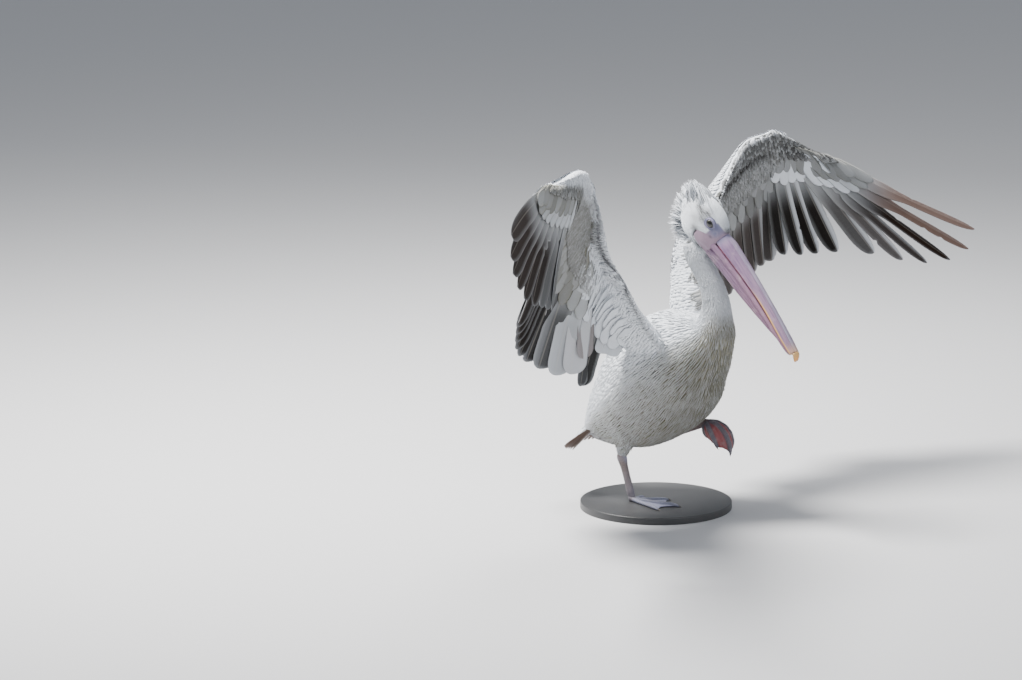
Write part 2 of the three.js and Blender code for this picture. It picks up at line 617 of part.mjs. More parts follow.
const WING_GAP_U = 0.0012; // u on each side of a cut through the arm
for (const [name, wing] of Object.entries(WINGS)) {
  const arm = [
    ["upper_arm", ARM.shoulder, ARM.elbow],
    ["forearm", ARM.elbow, ARM.wrist],
    ["hand", ARM.wrist, ARM.handEnd],
  ];
  const whole = arm.map(([, from, to]) => armPart(wing, from, to, { grow: 2 * GAP, trim: WING_GAP_U }));
  for (const [part, from, to] of arm) {
    const made = armPart(wing, from, to, { trim: WING_GAP_U }).subtract(grownTrunk);
    addPiece(`${part}_${name}`, largest(made), materials.plumage);
  }
  const secondaries = flightFeathers(wing, ARM.firstFeather, ARM.wrist - 2 * WING_GAP_U, SECONDARIES, {
    columns: 2,
    rows: 2,
    notch: () => NOTCH.secondary,
  });
  const primaries = flightFeathers(wing, ARM.wrist + 2 * WING_GAP_U, ARM.handEnd, PRIMARIES, {
    columns: 3,
    rows: 2,
    notch: (share) => NOTCH.inner + (NOTCH.fingers - NOTCH.inner) * THREE.MathUtils.smoothstep(share, 0.35, 0.8),
  });
  const clear = (sheet) => largest([...whole, grownTrunk].reduce((left, piece) => left.subtract(piece), sheet));
  addPiece(`secondaries_${name}`, clear(secondaries), materials.secondaryFeather);
  addPiece(`primaries_${name}`, clear(primaries), materials.flightFeather);
}
addPiece("tail", largest(tailSolid().subtract(grownTrunk)), materials.tailFeather);

for (const [name, leg] of Object.entries(LEGS)) {
  const side = { sides: 10, rings: 5 };
  const shank = limb(leg.shank, side);
  const tarsus = limb(leg.tarsus, side);
  addPiece(`shank_${name}`, largest(shank.subtract(grownTrunk)), materials.plumage);
  const standing = name === "right";
  const toes = standing ? footSolid(1, 0) : footSolid(-1, LIFTED_CURL);
  const foot = placed(toes, standing ? 0 : FOOT_PITCH, FOOT[name]);
  const grownShank = limb(leg.shank, { ...side, grow: GAP });
  const whole = tarsus.add(foot).subtract(grownShank).subtract(grownTrunk);
  addPiece(`foot_${name}`, largest(whole), materials.foot);
}

const root = new THREE.Group();
root.add(bird);
const plate = new THREE.CylinderGeometry(BASE.radius - BASE.bevel, BASE.radius, BASE.thickness, BASE.sides);
const standMesh = new THREE.Mesh(plate, materials.stand);
standMesh.name = "stand_base";
standMesh.rotation.x = Math.PI / 2;
standMesh.position.z = BASE.thickness / 2;
root.add(standMesh);

export default root;
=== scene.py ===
# A life-size pelican with both wings raised, on a plain round base, with skin, feathers, bill, eyes and feet.
# Shapes are worked out in millimetres in the bird's own frame, which has the standing foot at x 0.
import math

import bmesh
import bpy
import numpy as np
from mathutils import Matrix, Vector
from mathutils.bvhtree import BVHTree
from mathutils.kdtree import KDTree


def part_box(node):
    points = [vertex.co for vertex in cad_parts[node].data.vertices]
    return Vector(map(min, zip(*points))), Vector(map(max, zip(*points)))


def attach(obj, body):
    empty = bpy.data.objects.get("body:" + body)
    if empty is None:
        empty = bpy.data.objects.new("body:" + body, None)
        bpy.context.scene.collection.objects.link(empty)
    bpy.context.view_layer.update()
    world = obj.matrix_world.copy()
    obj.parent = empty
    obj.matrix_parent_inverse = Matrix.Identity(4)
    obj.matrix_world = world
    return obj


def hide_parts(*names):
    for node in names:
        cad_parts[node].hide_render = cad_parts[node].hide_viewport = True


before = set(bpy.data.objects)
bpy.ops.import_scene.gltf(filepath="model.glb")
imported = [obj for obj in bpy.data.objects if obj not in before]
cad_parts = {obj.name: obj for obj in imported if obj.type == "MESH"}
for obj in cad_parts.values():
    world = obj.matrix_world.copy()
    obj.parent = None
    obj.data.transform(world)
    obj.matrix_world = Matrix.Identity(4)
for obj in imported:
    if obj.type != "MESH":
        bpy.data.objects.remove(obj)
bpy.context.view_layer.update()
rng = np.random.default_rng(7)

fullTurn = 2 * math.pi
placing = {
    "millimetre": 0.001,
    "birdFromBase": (-45.0, 12.0, 0.4),  # the bird's frame against the base's top, in mm
}
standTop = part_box("stand_base")[1].z / placing["millimetre"]
birdOrigin = np.array(placing["birdFromBase"]) + [0, 0, standTop]


def toScene(points):
    return (np.asarray(points, float) + birdOrigin) * placing["millimetre"]


def toBird(places):
    return places / placing["millimetre"] - birdOrigin


# Smooth curves through stops (position, value or list of values), as the solids use.
def along(t, stops):
    keys = np.array([s[0] for s in stops], float)
    values = np.array([np.atleast_1d(s[1]) for s in stops], float)
    t = np.clip(np.asarray(t, float), keys[0], keys[-1])
    slopes = np.empty_like(values)
    slopes[1:-1] = (values[2:] - values[:-2]) / (keys[2:] - keys[:-2])[:, None]
    slopes[0] = (values[1] - values[0]) / (keys[1] - keys[0])
    slopes[-1] = (values[-1] - values[-2]) / (keys[-1] - keys[-2])
    i = np.clip(np.searchsorted(keys, t, side="left") - 1, 0, len(keys) - 2)
    span = keys[i + 1] - keys[i]
    u = ((t - keys[i]) / span)[..., None]
    m, n = slopes[i] * span[..., None], slopes[i + 1] * span[..., None]
    made = (
        (2 * u**3 - 3 * u**2 + 1) * values[i]
        + (u**3 - 2 * u**2 + u) * m
        + (3 * u**2 - 2 * u**3) * values[i + 1]
        + (u**3 - u**2) * n
    )
    return made[..., 0] if made.shape[-1] == 1 else made


def held(x):
    # kept from 0 to 1
    return np.clip(x, 0, 1)


def stacked(*rows):
    # side by side in a last axis
    return np.stack(np.broadcast_arrays(*rows), -1)


def unit(v):
    return v / np.maximum(np.linalg.norm(v, axis=-1, keepdims=True), 1e-9)


def ease(x, low, high):
    t = held((np.asarray(x, float) - low) / (high - low))
    return t * t * (3 - 2 * t)


def bump(x, centre, width):
    return np.exp(-(((np.asarray(x, float) - centre) / width) ** 2))


def blend(pair, share):
    return pair[0] + (pair[1] - pair[0]) * share


def runningSum(steps):
    return np.concatenate([[0], np.cumsum(steps)])


def roundEnd(s, start, power, least):
    # shares of the full width along something whose end is rounded from start on
    return np.sqrt(np.clip(1 - held((s - start) / (1 - start)) ** power, least, 1))


# Making meshes.
def addLayer(mesh, label, rows):
    layer = mesh.attributes.new(label, "FLOAT_COLOR", "POINT")
    layer.data.foreach_set("color", np.asarray(rows, np.float32).ravel())


def readVertices(mesh, label):
    rows = np.empty(len(mesh.vertices) * 3, np.float32)
    mesh.vertices.foreach_get(label, rows)
    return rows.reshape(-1, 3)


def smoothShade(mesh):
    mesh.polygons.foreach_set("use_smooth", np.full(len(mesh.polygons), True))


def makeMesh(name, points, quads=(), tris=(), marks=None, vane=None, bakeUv=None):
    quads = np.asarray(quads, np.int32).reshape(-1, 4)
    tris = np.asarray(tris, np.int32).reshape(-1, 3)
    corners = np.concatenate([quads.ravel(), tris.ravel()])
    starts = np.concatenate([np.arange(len(quads)) * 4, len(quads) * 4 + np.arange(len(tris)) * 3])
    mesh = bpy.data.meshes.new(name)
    mesh.vertices.add(len(points))
    mesh.vertices.foreach_set("co", toScene(points).astype(np.float32).ravel())
    mesh.loops.add(len(corners))
    mesh.loops.foreach_set("vertex_index", corners.astype(np.int32))
    mesh.polygons.add(len(starts))
    mesh.polygons.foreach_set("loop_start", starts.astype(np.int32))
    mesh.update(calc_edges=True)
    for label, rows in (("marks", marks), ("vane", vane)):
        if rows is not None:
            addLayer(mesh, label, rows)
    if bakeUv is not None:
        layer = mesh.uv_layers.new(name="OFBake")
        layer.data.foreach_set("uv", np.asarray(bakeUv, np.float32)[corners].ravel())
    smoothShade(mesh)
    mesh.validate()
    made = bpy.data.objects.new(name, mesh)
    bpy.context.scene.collection.objects.link(made)
    return made


def ringGrid(rings, sides, looped=False):
    # quads of a tube of rings, each with this many points, and fans that close its ends; a loop has no ends
    i, j = np.meshgrid(np.arange(rings if looped else rings - 1), np.arange(sides), indexing="ij")
    n, k = (i + 1) % rings, (j + 1) % sides
    quads = stacked(i * sides + j, i * sides + k, n * sides + k, n * sides + j).reshape(-1, 4)
    if looped:
        return quads, []
    last = (rings - 1) * sides
    fans = [[0, j + 1, j] for j in range(1, sides - 1)]
    fans += [[last, last + j, last + j + 1] for j in range(1, sides - 1)]
    return quads, fans


def turnOut(made):
    fixed = bmesh.new()
    fixed.from_mesh(made.data)
    bmesh.ops.recalc_face_normals(fixed, faces=fixed.faces)
    fixed.to_mesh(made.data)
    fixed.free()


def sweepPiece(name, rings, sides, place, looped=False):
    # a closed sweep: place takes the share along and the angle round, and gives points and any marks on them
    s, angle = np.meshgrid(
        np.linspace(0, 1, rings, endpoint=not looped), np.arange(sides) * fullTurn / sides, indexing="ij"
    )
    swept = place(s, angle)
    points, marks = swept if isinstance(swept, tuple) else (swept, None)
    if marks is not None:
        marks = stacked(*marks)
    made = makeMesh(name, points.reshape(-1, 3), *ringGrid(rings, sides, looped), marks)
    turnOut(made)
    return made


def joinPieces(parts, name):
    chosen = {"selected_editable_objects": parts, "selected_objects": parts}
    with bpy.context.temp_override(active_object=parts[0], **chosen):
        bpy.ops.object.join()
    parts[0].name = parts[0].data.name = name
    return parts[0]


def oneSurface(piece, voxel, smoothing):
    # closed parts that overlap become one surface of even faces
    remesh = piece.modifiers.new("oneSurface", "REMESH")
    remesh.mode, remesh.voxel_size = "VOXEL", voxel * placing["millimetre"]
    relax = piece.modifiers.new("relax", "SMOOTH")
    relax.factor, relax.iterations = 0.5, smoothing
    graph = bpy.context.evaluated_depsgraph_get()
    baked = bpy.data.meshes.new_from_object(piece.evaluated_get(graph))
    piece.modifiers.clear()
    piece.data = baked


def finishPiece(piece, material, slot, *nodes, body="root"):
    piece.data.materials.clear()
    piece.data.materials.append(material)
    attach(piece, body)
    if nodes:
        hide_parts(*nodes)


# The body's forms, as in the solids.
body = {
    # [t, [x, y, z, half width, half depth]] from tail to head
    "line": [
        (0, (-152, 0, 162, 26, 18)), (0.04, (-128, 0, 173, 52, 48)), (0.1, (-92, 0, 194, 84, 82)),
        (0.2, (-30, 0, 236, 118, 126)), (0.32, (38, 0, 296, 136, 150)),
        (0.42, (86, 0, 343, 136, 150)), (0.52, (129, 0, 382, 122, 132)),
        (0.6, (168, 0, 413, 97, 96)), (0.67, (196, 0, 444, 64, 62)), (0.72, (203, 0, 474, 45, 46)),
        (0.79, (203, 0, 515, 36, 37)), (0.86, (192, 0, 556, 31, 32)), (0.93, (167, 0, 600, 29, 30)),
        (0.97, (147, 0, 632, 31, 34)), (1, (137, 0, 662, 34, 42)),
    ],
    "closed": (0.955, 10),  # from where the skin draws in at the head's end, and by how much
    "coatDepth": [(0.0, 4.0), (0.1, 7.0), (0.5, 8.0), (0.62, 6.0), (0.72, 4.0), (1.0, 3.2)],
}
head = {
    "centre": (160, 724),
    "pitch": math.radians(45),
    "turn": math.radians(-12),
    "pivot": 150,
    # [a, [forehead side b, throat side b, half width]]
    "sections": [
        (-66, (14, -2, 7)), (-58, (37, -26, 20)), (-40, (54, -47, 30)), (-10, (65, -60, 37.5)),
        (20, (68, -59, 38.5)), (45, (65, -52, 35)), (68, (56, -47, 29)), (84, (46, -43, 25)),
    ],
    "skin": (-63, 82),  # from and to, along a
    "coatDepth": 2.6,
    "eye": (38, 35, 26.5),
    # [a, b and side of the middle, the reach each way, how far it stands out]
    "relief": {
        "socket": ((38, 35, 26.5), (19, 16, 16), -3.0),
        "brow": ((35, 55, 24), (24, 9, 14), 2.2),
        "jaw": ((56, -14, 28), (24, 15, 14), 3.5),
    },
}


def tubeFrame(t, stops):
    t = np.asarray(t, float)
    row = along(t, stops)
    step = 0.01
    ahead = along(np.minimum(t + step, 1), stops)[..., :3]
    behind = along(np.maximum(t - step, 0), stops)[..., :3]
    forward = unit(ahead - behind)
    depth = unit(np.cross(forward, [0.0, 1.0, 0.0]))
    width = unit(np.cross(depth, forward))
    return row[..., :3], width, depth, forward, row[..., 3], row[..., 4]


def tubePoint(t, angle, stops, inset=0.0):
    centre, width, depth, _, halfWidth, halfDepth = tubeFrame(t, stops)
    across = np.cos(angle) * np.maximum(halfWidth - inset, 1)
    down = np.sin(angle) * np.maximum(halfDepth - inset, 1)
    return centre + width * across[..., None] + depth * down[..., None]


def onHead(a, b, side):
    a, b, side = np.broadcast_arrays(np.asarray(a, float), b, side)
    x = head["centre"][0] - head["pivot"] + a * math.cos(head["pitch"]) + b * math.sin(head["pitch"])
    z = head["centre"][1] - a * math.sin(head["pitch"]) + b * math.cos(head["pitch"])
    c, s = math.cos(head["turn"]), math.sin(head["turn"])
    return stacked(c * x - s * side + head["pivot"], s * x + c * side, z)


def headAxes():
    origin = onHead(0, 0, 0)
    return [onHead(*row) - origin for row in ((1, 0, 0), (0, 1, 0), (0, 0, 1))]


def headPlace(points):
    # a, b and side of points in the bird's frame
    return (np.asarray(points) - onHead(0, 0, 0)) @ np.stack(headAxes(), -1)


def headPoint(a, angle, inset=0.0):
    high, low, halfWidth = np.moveaxis(along(a, head["sections"]), -1, 0)
    b = (high + low) / 2 + np.sin(angle) * ((high - low) / 2 - inset)
    side = np.cos(angle) * (halfWidth - inset)
    for sign in (-1, 1):
        for (atA, atB, atSide), (wideA, wideB, wideSide), out in head["relief"].values():
            near = bump(a, atA, wideA) * bump(b, atB, wideB) * bump(side, sign * atSide, wideSide)
            side = side + sign * out * near
    return onHead(a, b, side)


# Wings: joints, leading edge and the ways that the flight feathers point in.
wings = {
    "right": {
        "side": -1,
        "joints": ((88, -72, 398), (-30, -205, 632), (64, -430, 880), (84, -612, 898)),
        "edge": ((112, -92, 418), (46, -226, 622), (68, -366, 812)),
        "secondary": [
            (0, (-115, -30, -190)), (0.2, (-62, -16, -250)), (0.36, (-30, -16, -312)),
            (0.62, (-150, -34, -336)), (1, (-140, -72, -335)),
        ],
        "primary": [
            (0, (130, -560, -820)), (0.35, (187, -746, -639)), (0.65, (279, -910, -307)),
            (1, (348, -938, 20)),
        ],
    },
    "left": {
        "side": 1,
        "joints": ((88, 72, 398), (15, 200, 632), (105, 470, 850), (136, 646, 796)),
        "edge": ((122, 92, 420), (68, 224, 654), (80, 372, 846)),
        "secondary": [
            (0, (-115, 130, -190)), (0.34, (-6, 205, -225)), (0.62, (-60, 180, -290)),
            (1, (-49, 135, -296)),
        ],
        "primary": [
            (0, (-40, 310, -950)), (0.33, (105, 540, -830)), (0.46, (320, 570, -750)),
            (0.7, (455, 628, -630)), (1, (484, 780, -400)),
        ],
    },
}
arm = {
    "stops": (0, 0.35, 0.79, 1),  # shoulder, elbow, wrist and the hand's end
    "firstFeather": 0.12,
    "forearm": 0.63,
    "step": 0.03,
    "handEdge": [(0.79, 22), (1, 16)],
    "reach": [(0, (64, 46)), (0.35, (104, 27)), (0.6, (132, 19)), (0.79, (135, 15)), (1, (175, 7))],
    "middle": 180,
    "thinner": 0.6,  # at the covert line, as a share of the thickness over the bone
    "sheetHalf": 1.6,
    "coatDepth": 3.5,
    "skinTo": 0.995,
}
wrist = arm["stops"][2]
flight = {
    "secondaries": 16,
    "primaries": 10,
    "secondaryLength": [(0, 190), (0.3, 300), (0.5, 360), (0.7, 395), (1, 380)],
    "primaryLength": [(0, 345), (0.35, 405), (0.47, 445), (0.7, 545), (0.85, 585), (1, 572)],
    "bow": 10,
    "bowLength": 400,
    "start": 20,
}


def wingPoint(wing, u):
    return along(u, list(zip(arm["stops"], wing["joints"])))


def wingShares(u):
    # how far along the secondaries and along the primaries
    inner = held((u - arm["firstFeather"]) / (wrist - arm["firstFeather"]))
    return inner, held((u - wrist) / (1 - wrist))


def featherWay(wing, u):
    u = np.asarray(u, float)
    inner, outer = wingShares(u)
    inner, outer = unit(along(inner, wing["secondary"])), unit(along(outer, wing["primary"]))
    mix = ease(u, wrist - arm["step"], wrist + arm["step"])[..., None]
    return unit(inner + (outer - inner) * mix)


def wingFrame(wing, u):
    u = np.asarray(u, float)
    way = featherWay(wing, u)

    def middle(v):
        return wingPoint(wing, v) + featherWay(wing, v) * arm["middle"]

    spread = middle(np.minimum(1, u + arm["step"])) - middle(np.maximum(0, u - arm["step"]))
    normal = unit(np.cross(spread, way)) * wing["side"]
    return wingPoint(wing, u), way, normal


def leadingEdge(wing, u):
    u = np.asarray(u, float)
    centre, way, _ = wingFrame(wing, u)
    hand = centre - way * along(u, arm["handEdge"])[..., None]
    wristCentre, wristWay, _ = wingFrame(wing, np.array(wrist))
    atWrist = wristCentre - wristWay * arm["handEdge"][0][1]
    places = (arm["stops"][0], arm["stops"][1], arm["forearm"], wrist)
    inner = along(u, list(zip(places, (*wing["edge"], atWrist))))
    return np.where((u >= wrist)[..., None], hand, inner)


def armPoint(wing, u, q, face, inset=0.0):
    # q runs from -1 at the leading edge over 0 at the bone to 1 at the covert tips; face is 1 above, -1 below
    u, q = np.broadcast_arrays(np.asarray(u, float), q)
    centre, way, normal = wingFrame(wing, u)
    back, thick = np.moveaxis(along(u, arm["reach"]), -1, 0)
    front = leadingEdge(wing, u) - centre
    ahead, behind = np.clip(-q, 0, None), np.clip(q, 0, None)
    profile = np.sqrt(held(1 - q * q))
    solid = (thick - inset) * (1 - arm["thinner"] * held(behind)) * profile
    height = np.maximum(solid, arm["sheetHalf"] * ease(q, 0, 0.6))
    bow = flight["bow"] * np.sin(math.pi * held(behind * back / flight["bowLength"])) * 0.5
    rise = face * height + bow * ease(q, 0.3, 1)
    frontShare = 1 - inset / np.maximum(np.linalg.norm(front, axis=-1), 20)
    return (
        centre
        + way * (behind * back)[..., None]
        + front * (ahead * frontShare)[..., None]
        + normal * rise[..., None]
    )


legs = {
    "right": {
        "shank": [(0, (-12, -57, 190, 42, 48)), (0.5, (-22, -56, 148, 24, 27)), (1, (-30, -55, 112, 11, 12))],
        "tarsus": [
            (0, (-32, -55, 118, 8, 9)), (0.1, (-29, -55, 108, 9, 11)), (0.3, (-22, -55, 84, 6, 8)),
            (0.6, (-12, -55, 50, 5.5, 7.5)), (0.9, (-3, -55, 18, 7, 9)), (1, (0, -55, 8, 7, 9)),
        ],
    },
    "left": {
        "shank": [(0, (78, 60, 236, 42, 48)), (0.5, (62, 61, 190, 27, 30)), (1, (44, 62, 152, 12, 13))],
        "tarsus": [
            (0, (36, 62, 150, 8, 9)), (0.1, (46, 62, 154, 9, 11)), (0.3, (68, 62, 162, 6, 8)),
            (0.6, (102, 62, 176, 5.5, 7.5)), (0.9, (134, 62, 191, 7, 9)), (1, (147, 62, 197, 7, 8)),
        ],
    },
    "coatDepth": 3.0,
    "rows": (0.02, 0.97),
    "spacing": (6.0, 5.5),
}
tail = {
    "root": (-108, 0, 184),
    "way": (-0.82, 0, -0.57),
    "feathers": 20,
    "halfFan": math.radians(36),
    "length": 146,
    "shorter": 0.14,
    "halfRoot": 22,
    "droop": 12,
    "cushion": {"drop": 15, "back": 96, "tip": 8, "halfWidth": 34, "low": 0.3},
    "coatDepth": 3.0,
}
tailWay = unit(np.array(tail["way"]))
tailUp = unit(np.cross(tailWay, [0.0, 1.0, 0.0]))


def cushionPoint(t, angle, inset=0.0):
    size = np.sqrt(held(1 - t * t))
    cushion = tail["cushion"]
    across = np.cos(angle) * np.maximum(cushion["tip"] + cushion["halfWidth"] * size - inset, 1)
    up = (np.sin(angle) - cushion["low"]) * np.maximum(1 + cushion["drop"] * size - inset, 1)
    return (
        np.array(tail["root"])
        + tailWay * (t * (cushion["back"] - inset))[..., None]
        + np.array([0.0, 1.0, 0.0]) * across[..., None]
        + tailUp * up[..., None]
    )


# The skin: one surface over trunk, neck, head, arms and shanks, inside the solids by the coat's depth.
skinMake = {
    "voxel": 3.4,
    "smoothing": 7,
    # rings and points on each
    "body": (150, 72),
    "head": (70, 72),
    "cushion": (24, 32),
    "arm": (130, 48),
    "shank": (24, 32),
}


# The bare face: where it is, and the fine folds of its skin.
faceLook = {
    "rows": (-61, 86),
    "row": 2.6,
    "column": 2.5,
    "eyeBare": (38, 35, 16.5, 14.5),
    "jaw": (66, -12, 42, 25),
    "crescent": [(25, -8), (24, -18), (27, -28), (34, -36), (46, -40.5), (60, -39)],
    "finer": 3,
    "smoothing": 3,
    "region": ((18, 100), (-62, 64), 8),
    "limits": ((15, 110), 75, 45),  # of a, b and side, beyond which nothing is bare
    "shown": 0.45,  # the share of bare skin from which no feather grows
    "above": 560,
}


def bareShare(a, b):
    # 1 on the bare skin round the eye and along the bill's base, 0 on feathers
    ea, eb, ra, rb = faceLook["eyeBare"]
    eye = 1 - ease(np.hypot((a - ea) / ra, (b - eb) / rb), 0.92, 1.08)
    top = np.interp(a, [50, 84, 90], [50, 44, 42])
    lore = ease(a, 46, 52) * (1 - ease(b, top - 2, top + 2)) * ease(b, 8, 12)
    ja, jb, sa, sb = faceLook["jaw"]
    jaw = 1 - ease(np.hypot((a - ja) / sa, (b - jb) / sb), 0.93, 1.05)
    slant = (a - 49) * 0.5
    jaw = jaw * (1 - ease(b, 9 + slant, 12 + slant))
    return held(eye + lore + jaw)


def canBeBare(a, b, side):
    # whether places in the head's frame can be bare at all
    (low, high), farB, farSide = faceLook["limits"]
    return (a > low) & (a < high) & (np.abs(side) < farSide) & (np.abs(b) < farB)


def crescentShare(a, b, width=3.5):
    line = np.array(faceLook["crescent"], float)
    nearest = np.full(np.shape(a), 1e9)
    for p, q in zip(line[:-1], line[1:]):
        span = q - p
        t = held(((a - p[0]) * span[0] + (b - p[1]) * span[1]) / (span @ span))
        nearest = np.minimum(nearest, np.hypot(a - p[0] - t * span[0], b - p[1] - t * span[1]))
    return np.exp(-((nearest / width) ** 2))


def ridges(x, spacing):
    return np.sin(x * fullTurn / spacing)


def faceRelief(a, b):
    # how far the face's skin stands out, in millimetres
    fromEye = np.hypot((a - head["eye"][0]) / 1.12, b - head["eye"][1])
    rings = 0.32 * ridges(fromEye, 2.3) * ease(fromEye, 11, 12.5) * (1 - ease(fromEye, 15.5, 18))
    lore = 0.16 * ridges(b * 0.9 + a * 0.25, 2.4) * ease(a, 50, 56) * ease(b, 14, 20) * (1 - ease(b, 40, 46))
    jaw = 0.22 * ridges(b + 0.38 * a + 2 * np.sin(a / 9), 3.2)
    jaw = jaw * ease(a, 30, 40) * (1 - ease(b, 4, 12)) * ease(b, -36, -28)
    fold = -2.4 * crescentShare(a, b) + 0.9 * crescentShare(a - 5, b + 3, 3.0)
    return rings + lore + jaw + fold - 0.3 * bareShare(a, b)


def refineFace(skin):
    fixed = bmesh.new()
    fixed.from_mesh(skin.data)
    (lowA, highA), (lowB, highB), off = faceLook["region"]

    def onFace():
        places = toBird(np.array([v.co for v in fixed.verts]))
        a, b, side = headPlace(places).T
        inside = (a > lowA) & (a < highA) & (b > lowB) & (b < highB)
        return a, b, inside & (np.abs(side) > off) & (places[:, 2] > faceLook["above"])

    chosen = onFace()[2]
    edges = [e for e in fixed.edges if chosen[e.verts[0].index] and chosen[e.verts[1].index]]
    bmesh.ops.subdivide_edges(fixed, edges=edges, cuts=faceLook["finer"], use_grid_fill=True)
    fixed.verts.index_update()
    a, b, chosen = onFace()
    fixed.verts.ensure_lookup_table()
    verts = [v for v in fixed.verts if chosen[v.index]]
    axes = dict.fromkeys(("use_axis_x", "use_axis_y", "use_axis_z"), True)
    for _ in range(faceLook["smoothing"]):
        bmesh.ops.smooth_vert(fixed, verts=verts, factor=0.5, **axes)
    fixed.normal_update()
    relief = faceRelief(a, b) * placing["millimetre"]
    for v in verts:
        v.co += v.normal * relief[v.index]
    fixed.to_mesh(skin.data)
    fixed.free()


def makeSkin():
    def bodyForm(s, angle):
        drawnFrom, drawn = body["closed"]
        return tubePoint(s, angle, body["line"], along(s, body["coatDepth"]) + drawn * ease(s, drawnFrom, 1))

    def headForm(s, angle):
        return headPoint(blend(head["skin"], s), angle, head["coatDepth"])

    def cushionForm(s, angle):
        return cushionPoint(s * 0.96, angle, tail["coatDepth"])

    def armForm(s, angle):
        face = np.sign(np.sin(angle) + 1e-12)
        return armPoint(wing, s * arm["skinTo"], np.cos(angle), face, arm["coatDepth"])

    def shankForm(s, angle):
        return tubePoint(s, angle, legs[side]["shank"], legs["coatDepth"])

    parts = [
        sweepPiece("bodyForm", *skinMake["body"], bodyForm),
        sweepPiece("headForm", *skinMake["head"], headForm),
        sweepPiece("cushionForm", *skinMake["cushion"], cushionForm),
    ]
    for side, wing in wings.items():
        parts.append(sweepPiece(side + "ArmForm", *skinMake["arm"], armForm))
        parts.append(sweepPiece(side + "ShankForm", *skinMake["shank"], shankForm))
    made = joinPieces(parts, "skin")
    oneSurface(made, skinMake["voxel"], skinMake["smoothing"])
    refineFace(made)
    smoothShade(made.data)
    return made


skin = makeSkin()
print("skin:", len(skin.data.polygons), "faces")


# Materials.
class Wire:
    # a socket of a material's nodes, so that maths on it reads as an expression
    def __init__(self, tree, socket=None):
        self.tree = tree
        self.socket = socket

    def node(self, kind, settings=None, values=None, out=0):
        made = self.tree.nodes.new("ShaderNode" + kind)
        for key, value in (settings or {}).items():
            if key == "stops":
                stops = made.color_ramp.elements
                while len(stops) < len(value):
                    stops.new(1)
                for stop, (place, shade) in zip(stops, value):
                    stop.position = place
                    stop.color = (*shade, 1)
            else:
                setattr(made, key, value)
        for key, value in (values or {}).items():
            socket = made.inputs[key]
            if isinstance(value, Wire):
                self.tree.links.new(value.socket, socket)
            elif socket.type == "RGBA":
                socket.default_value = (*value, 1)
            else:
                socket.default_value = value
        return Wire(self.tree, made.outputs[out])

    def maths(self, operation, *values):
        return self.node("Math", {"operation": operation}, dict(enumerate(values)))

    def clamped(self):
        return self.node("Math", {"operation": "ADD", "use_clamp": True}, {0: self, 1: 0.0})

    def between(self, low, high):
        return self.node("MapRange", {"interpolation_type": "SMOOTHSTEP"}, {0: self, 1: low, 2: high})

    def mix(self, share, first, second, kind="MIX"):
        settings = {"data_type": "RGBA", "blend_type": kind}
        return self.node("Mix", settings, {0: share, 6: first, 7: second}, 2)

    def over(self, colour, *coats):
        # a colour with others laid over it, each a share and a colour
        for share, shade in coats:
            colour = self.mix(share, colour, shade)
        return colour

    def place(self):
        return self.node("TexCoord", out="Object")

    def layer(self, name, count=4):
        # the channels of a mesh's attribute as wires of their own, the fourth from its alpha
        read = self.node("Attribute", {"attribute_name": name}).socket.node
        split = self.node("SeparateColor", None, {0: Wire(self.tree, read.outputs["Color"])}).socket.node
        return [Wire(self.tree, socket) for socket in (*split.outputs, read.outputs["Alpha"])][:count]

    def __add__(self, other):
        return self.maths("ADD", self, other)

    __radd__ = __add__

    def __sub__(self, other):
        return self.maths("SUBTRACT", self, other)

    def __rsub__(self, other):
        return self.maths("SUBTRACT", other, self)

    def __mul__(self, other):
        return self.maths("MULTIPLY", self, other)

    __rmul__ = __mul__

    def __pow__(self, other):
        return self.maths("POWER", self, other)


def newFinish(name, **fixed):
    # a material and the wire that its nodes are made from; its shader gets the values that don't vary
    made = bpy.data.materials.new(name)
    made.use_nodes = True
    for socket, value in fixed.items():
        made.node_tree.nodes["Principled BSDF"].inputs[socket].default_value = value
    return made, Wire(made.node_tree)


def feed(made, paint, colour, roughness=None, height=None, distance=0.0005, strength=0.6):
    # leads what varies over a piece to its shader
    wires = {"Base Color": colour, "Roughness": roughness}
    if height is not None:
        relief = {"Height": height, "Distance": distance, "Strength": strength}
        wires["Normal"] = paint.node("Bump", None, relief)
    for socket, wire in wires.items():
        if wire is not None:
            paint.tree.links.new(wire.socket, made.node_tree.nodes["Principled BSDF"].inputs[socket])
    return made


def noiseOn(paint, place, scale, detail=3.0):
    return paint.node("TexNoise", None, {"Vector": place, "Scale": scale, "Detail": detail})


def streaksOn(paint, across, length, detail):
    # noise drawn out on a piece's own shares
    place = paint.node("CombineXYZ", None, {0: across, 1: length, 2: 0.0})
    values = {"Vector": place, "Scale": 1.0, "Detail": detail}
    return paint.node("TexNoise", {"noise_dimensions": "2D"}, values)


feathers = {
    # the white's cool blue cast is painted light: the cool of the sky laid into the feathers' white
    "white": (0.785, 0.82, 0.872),
    "grey": (0.185, 0.19, 0.195),
    "dark": (0.008, 0.006, 0.005),
    "olive": (0.19, 0.17, 0.09),
    "shaft": (0.62, 0.58, 0.52),
    "bare": (0.33, 0.27, 0.36),
    "warm": (0.165, 0.075, 0.042),
    "dust": (0.62, 0.60, 0.56),
    "gloss": 3.5,  # of the specular level against the sheen
    "ribTurn": 6.283,
}


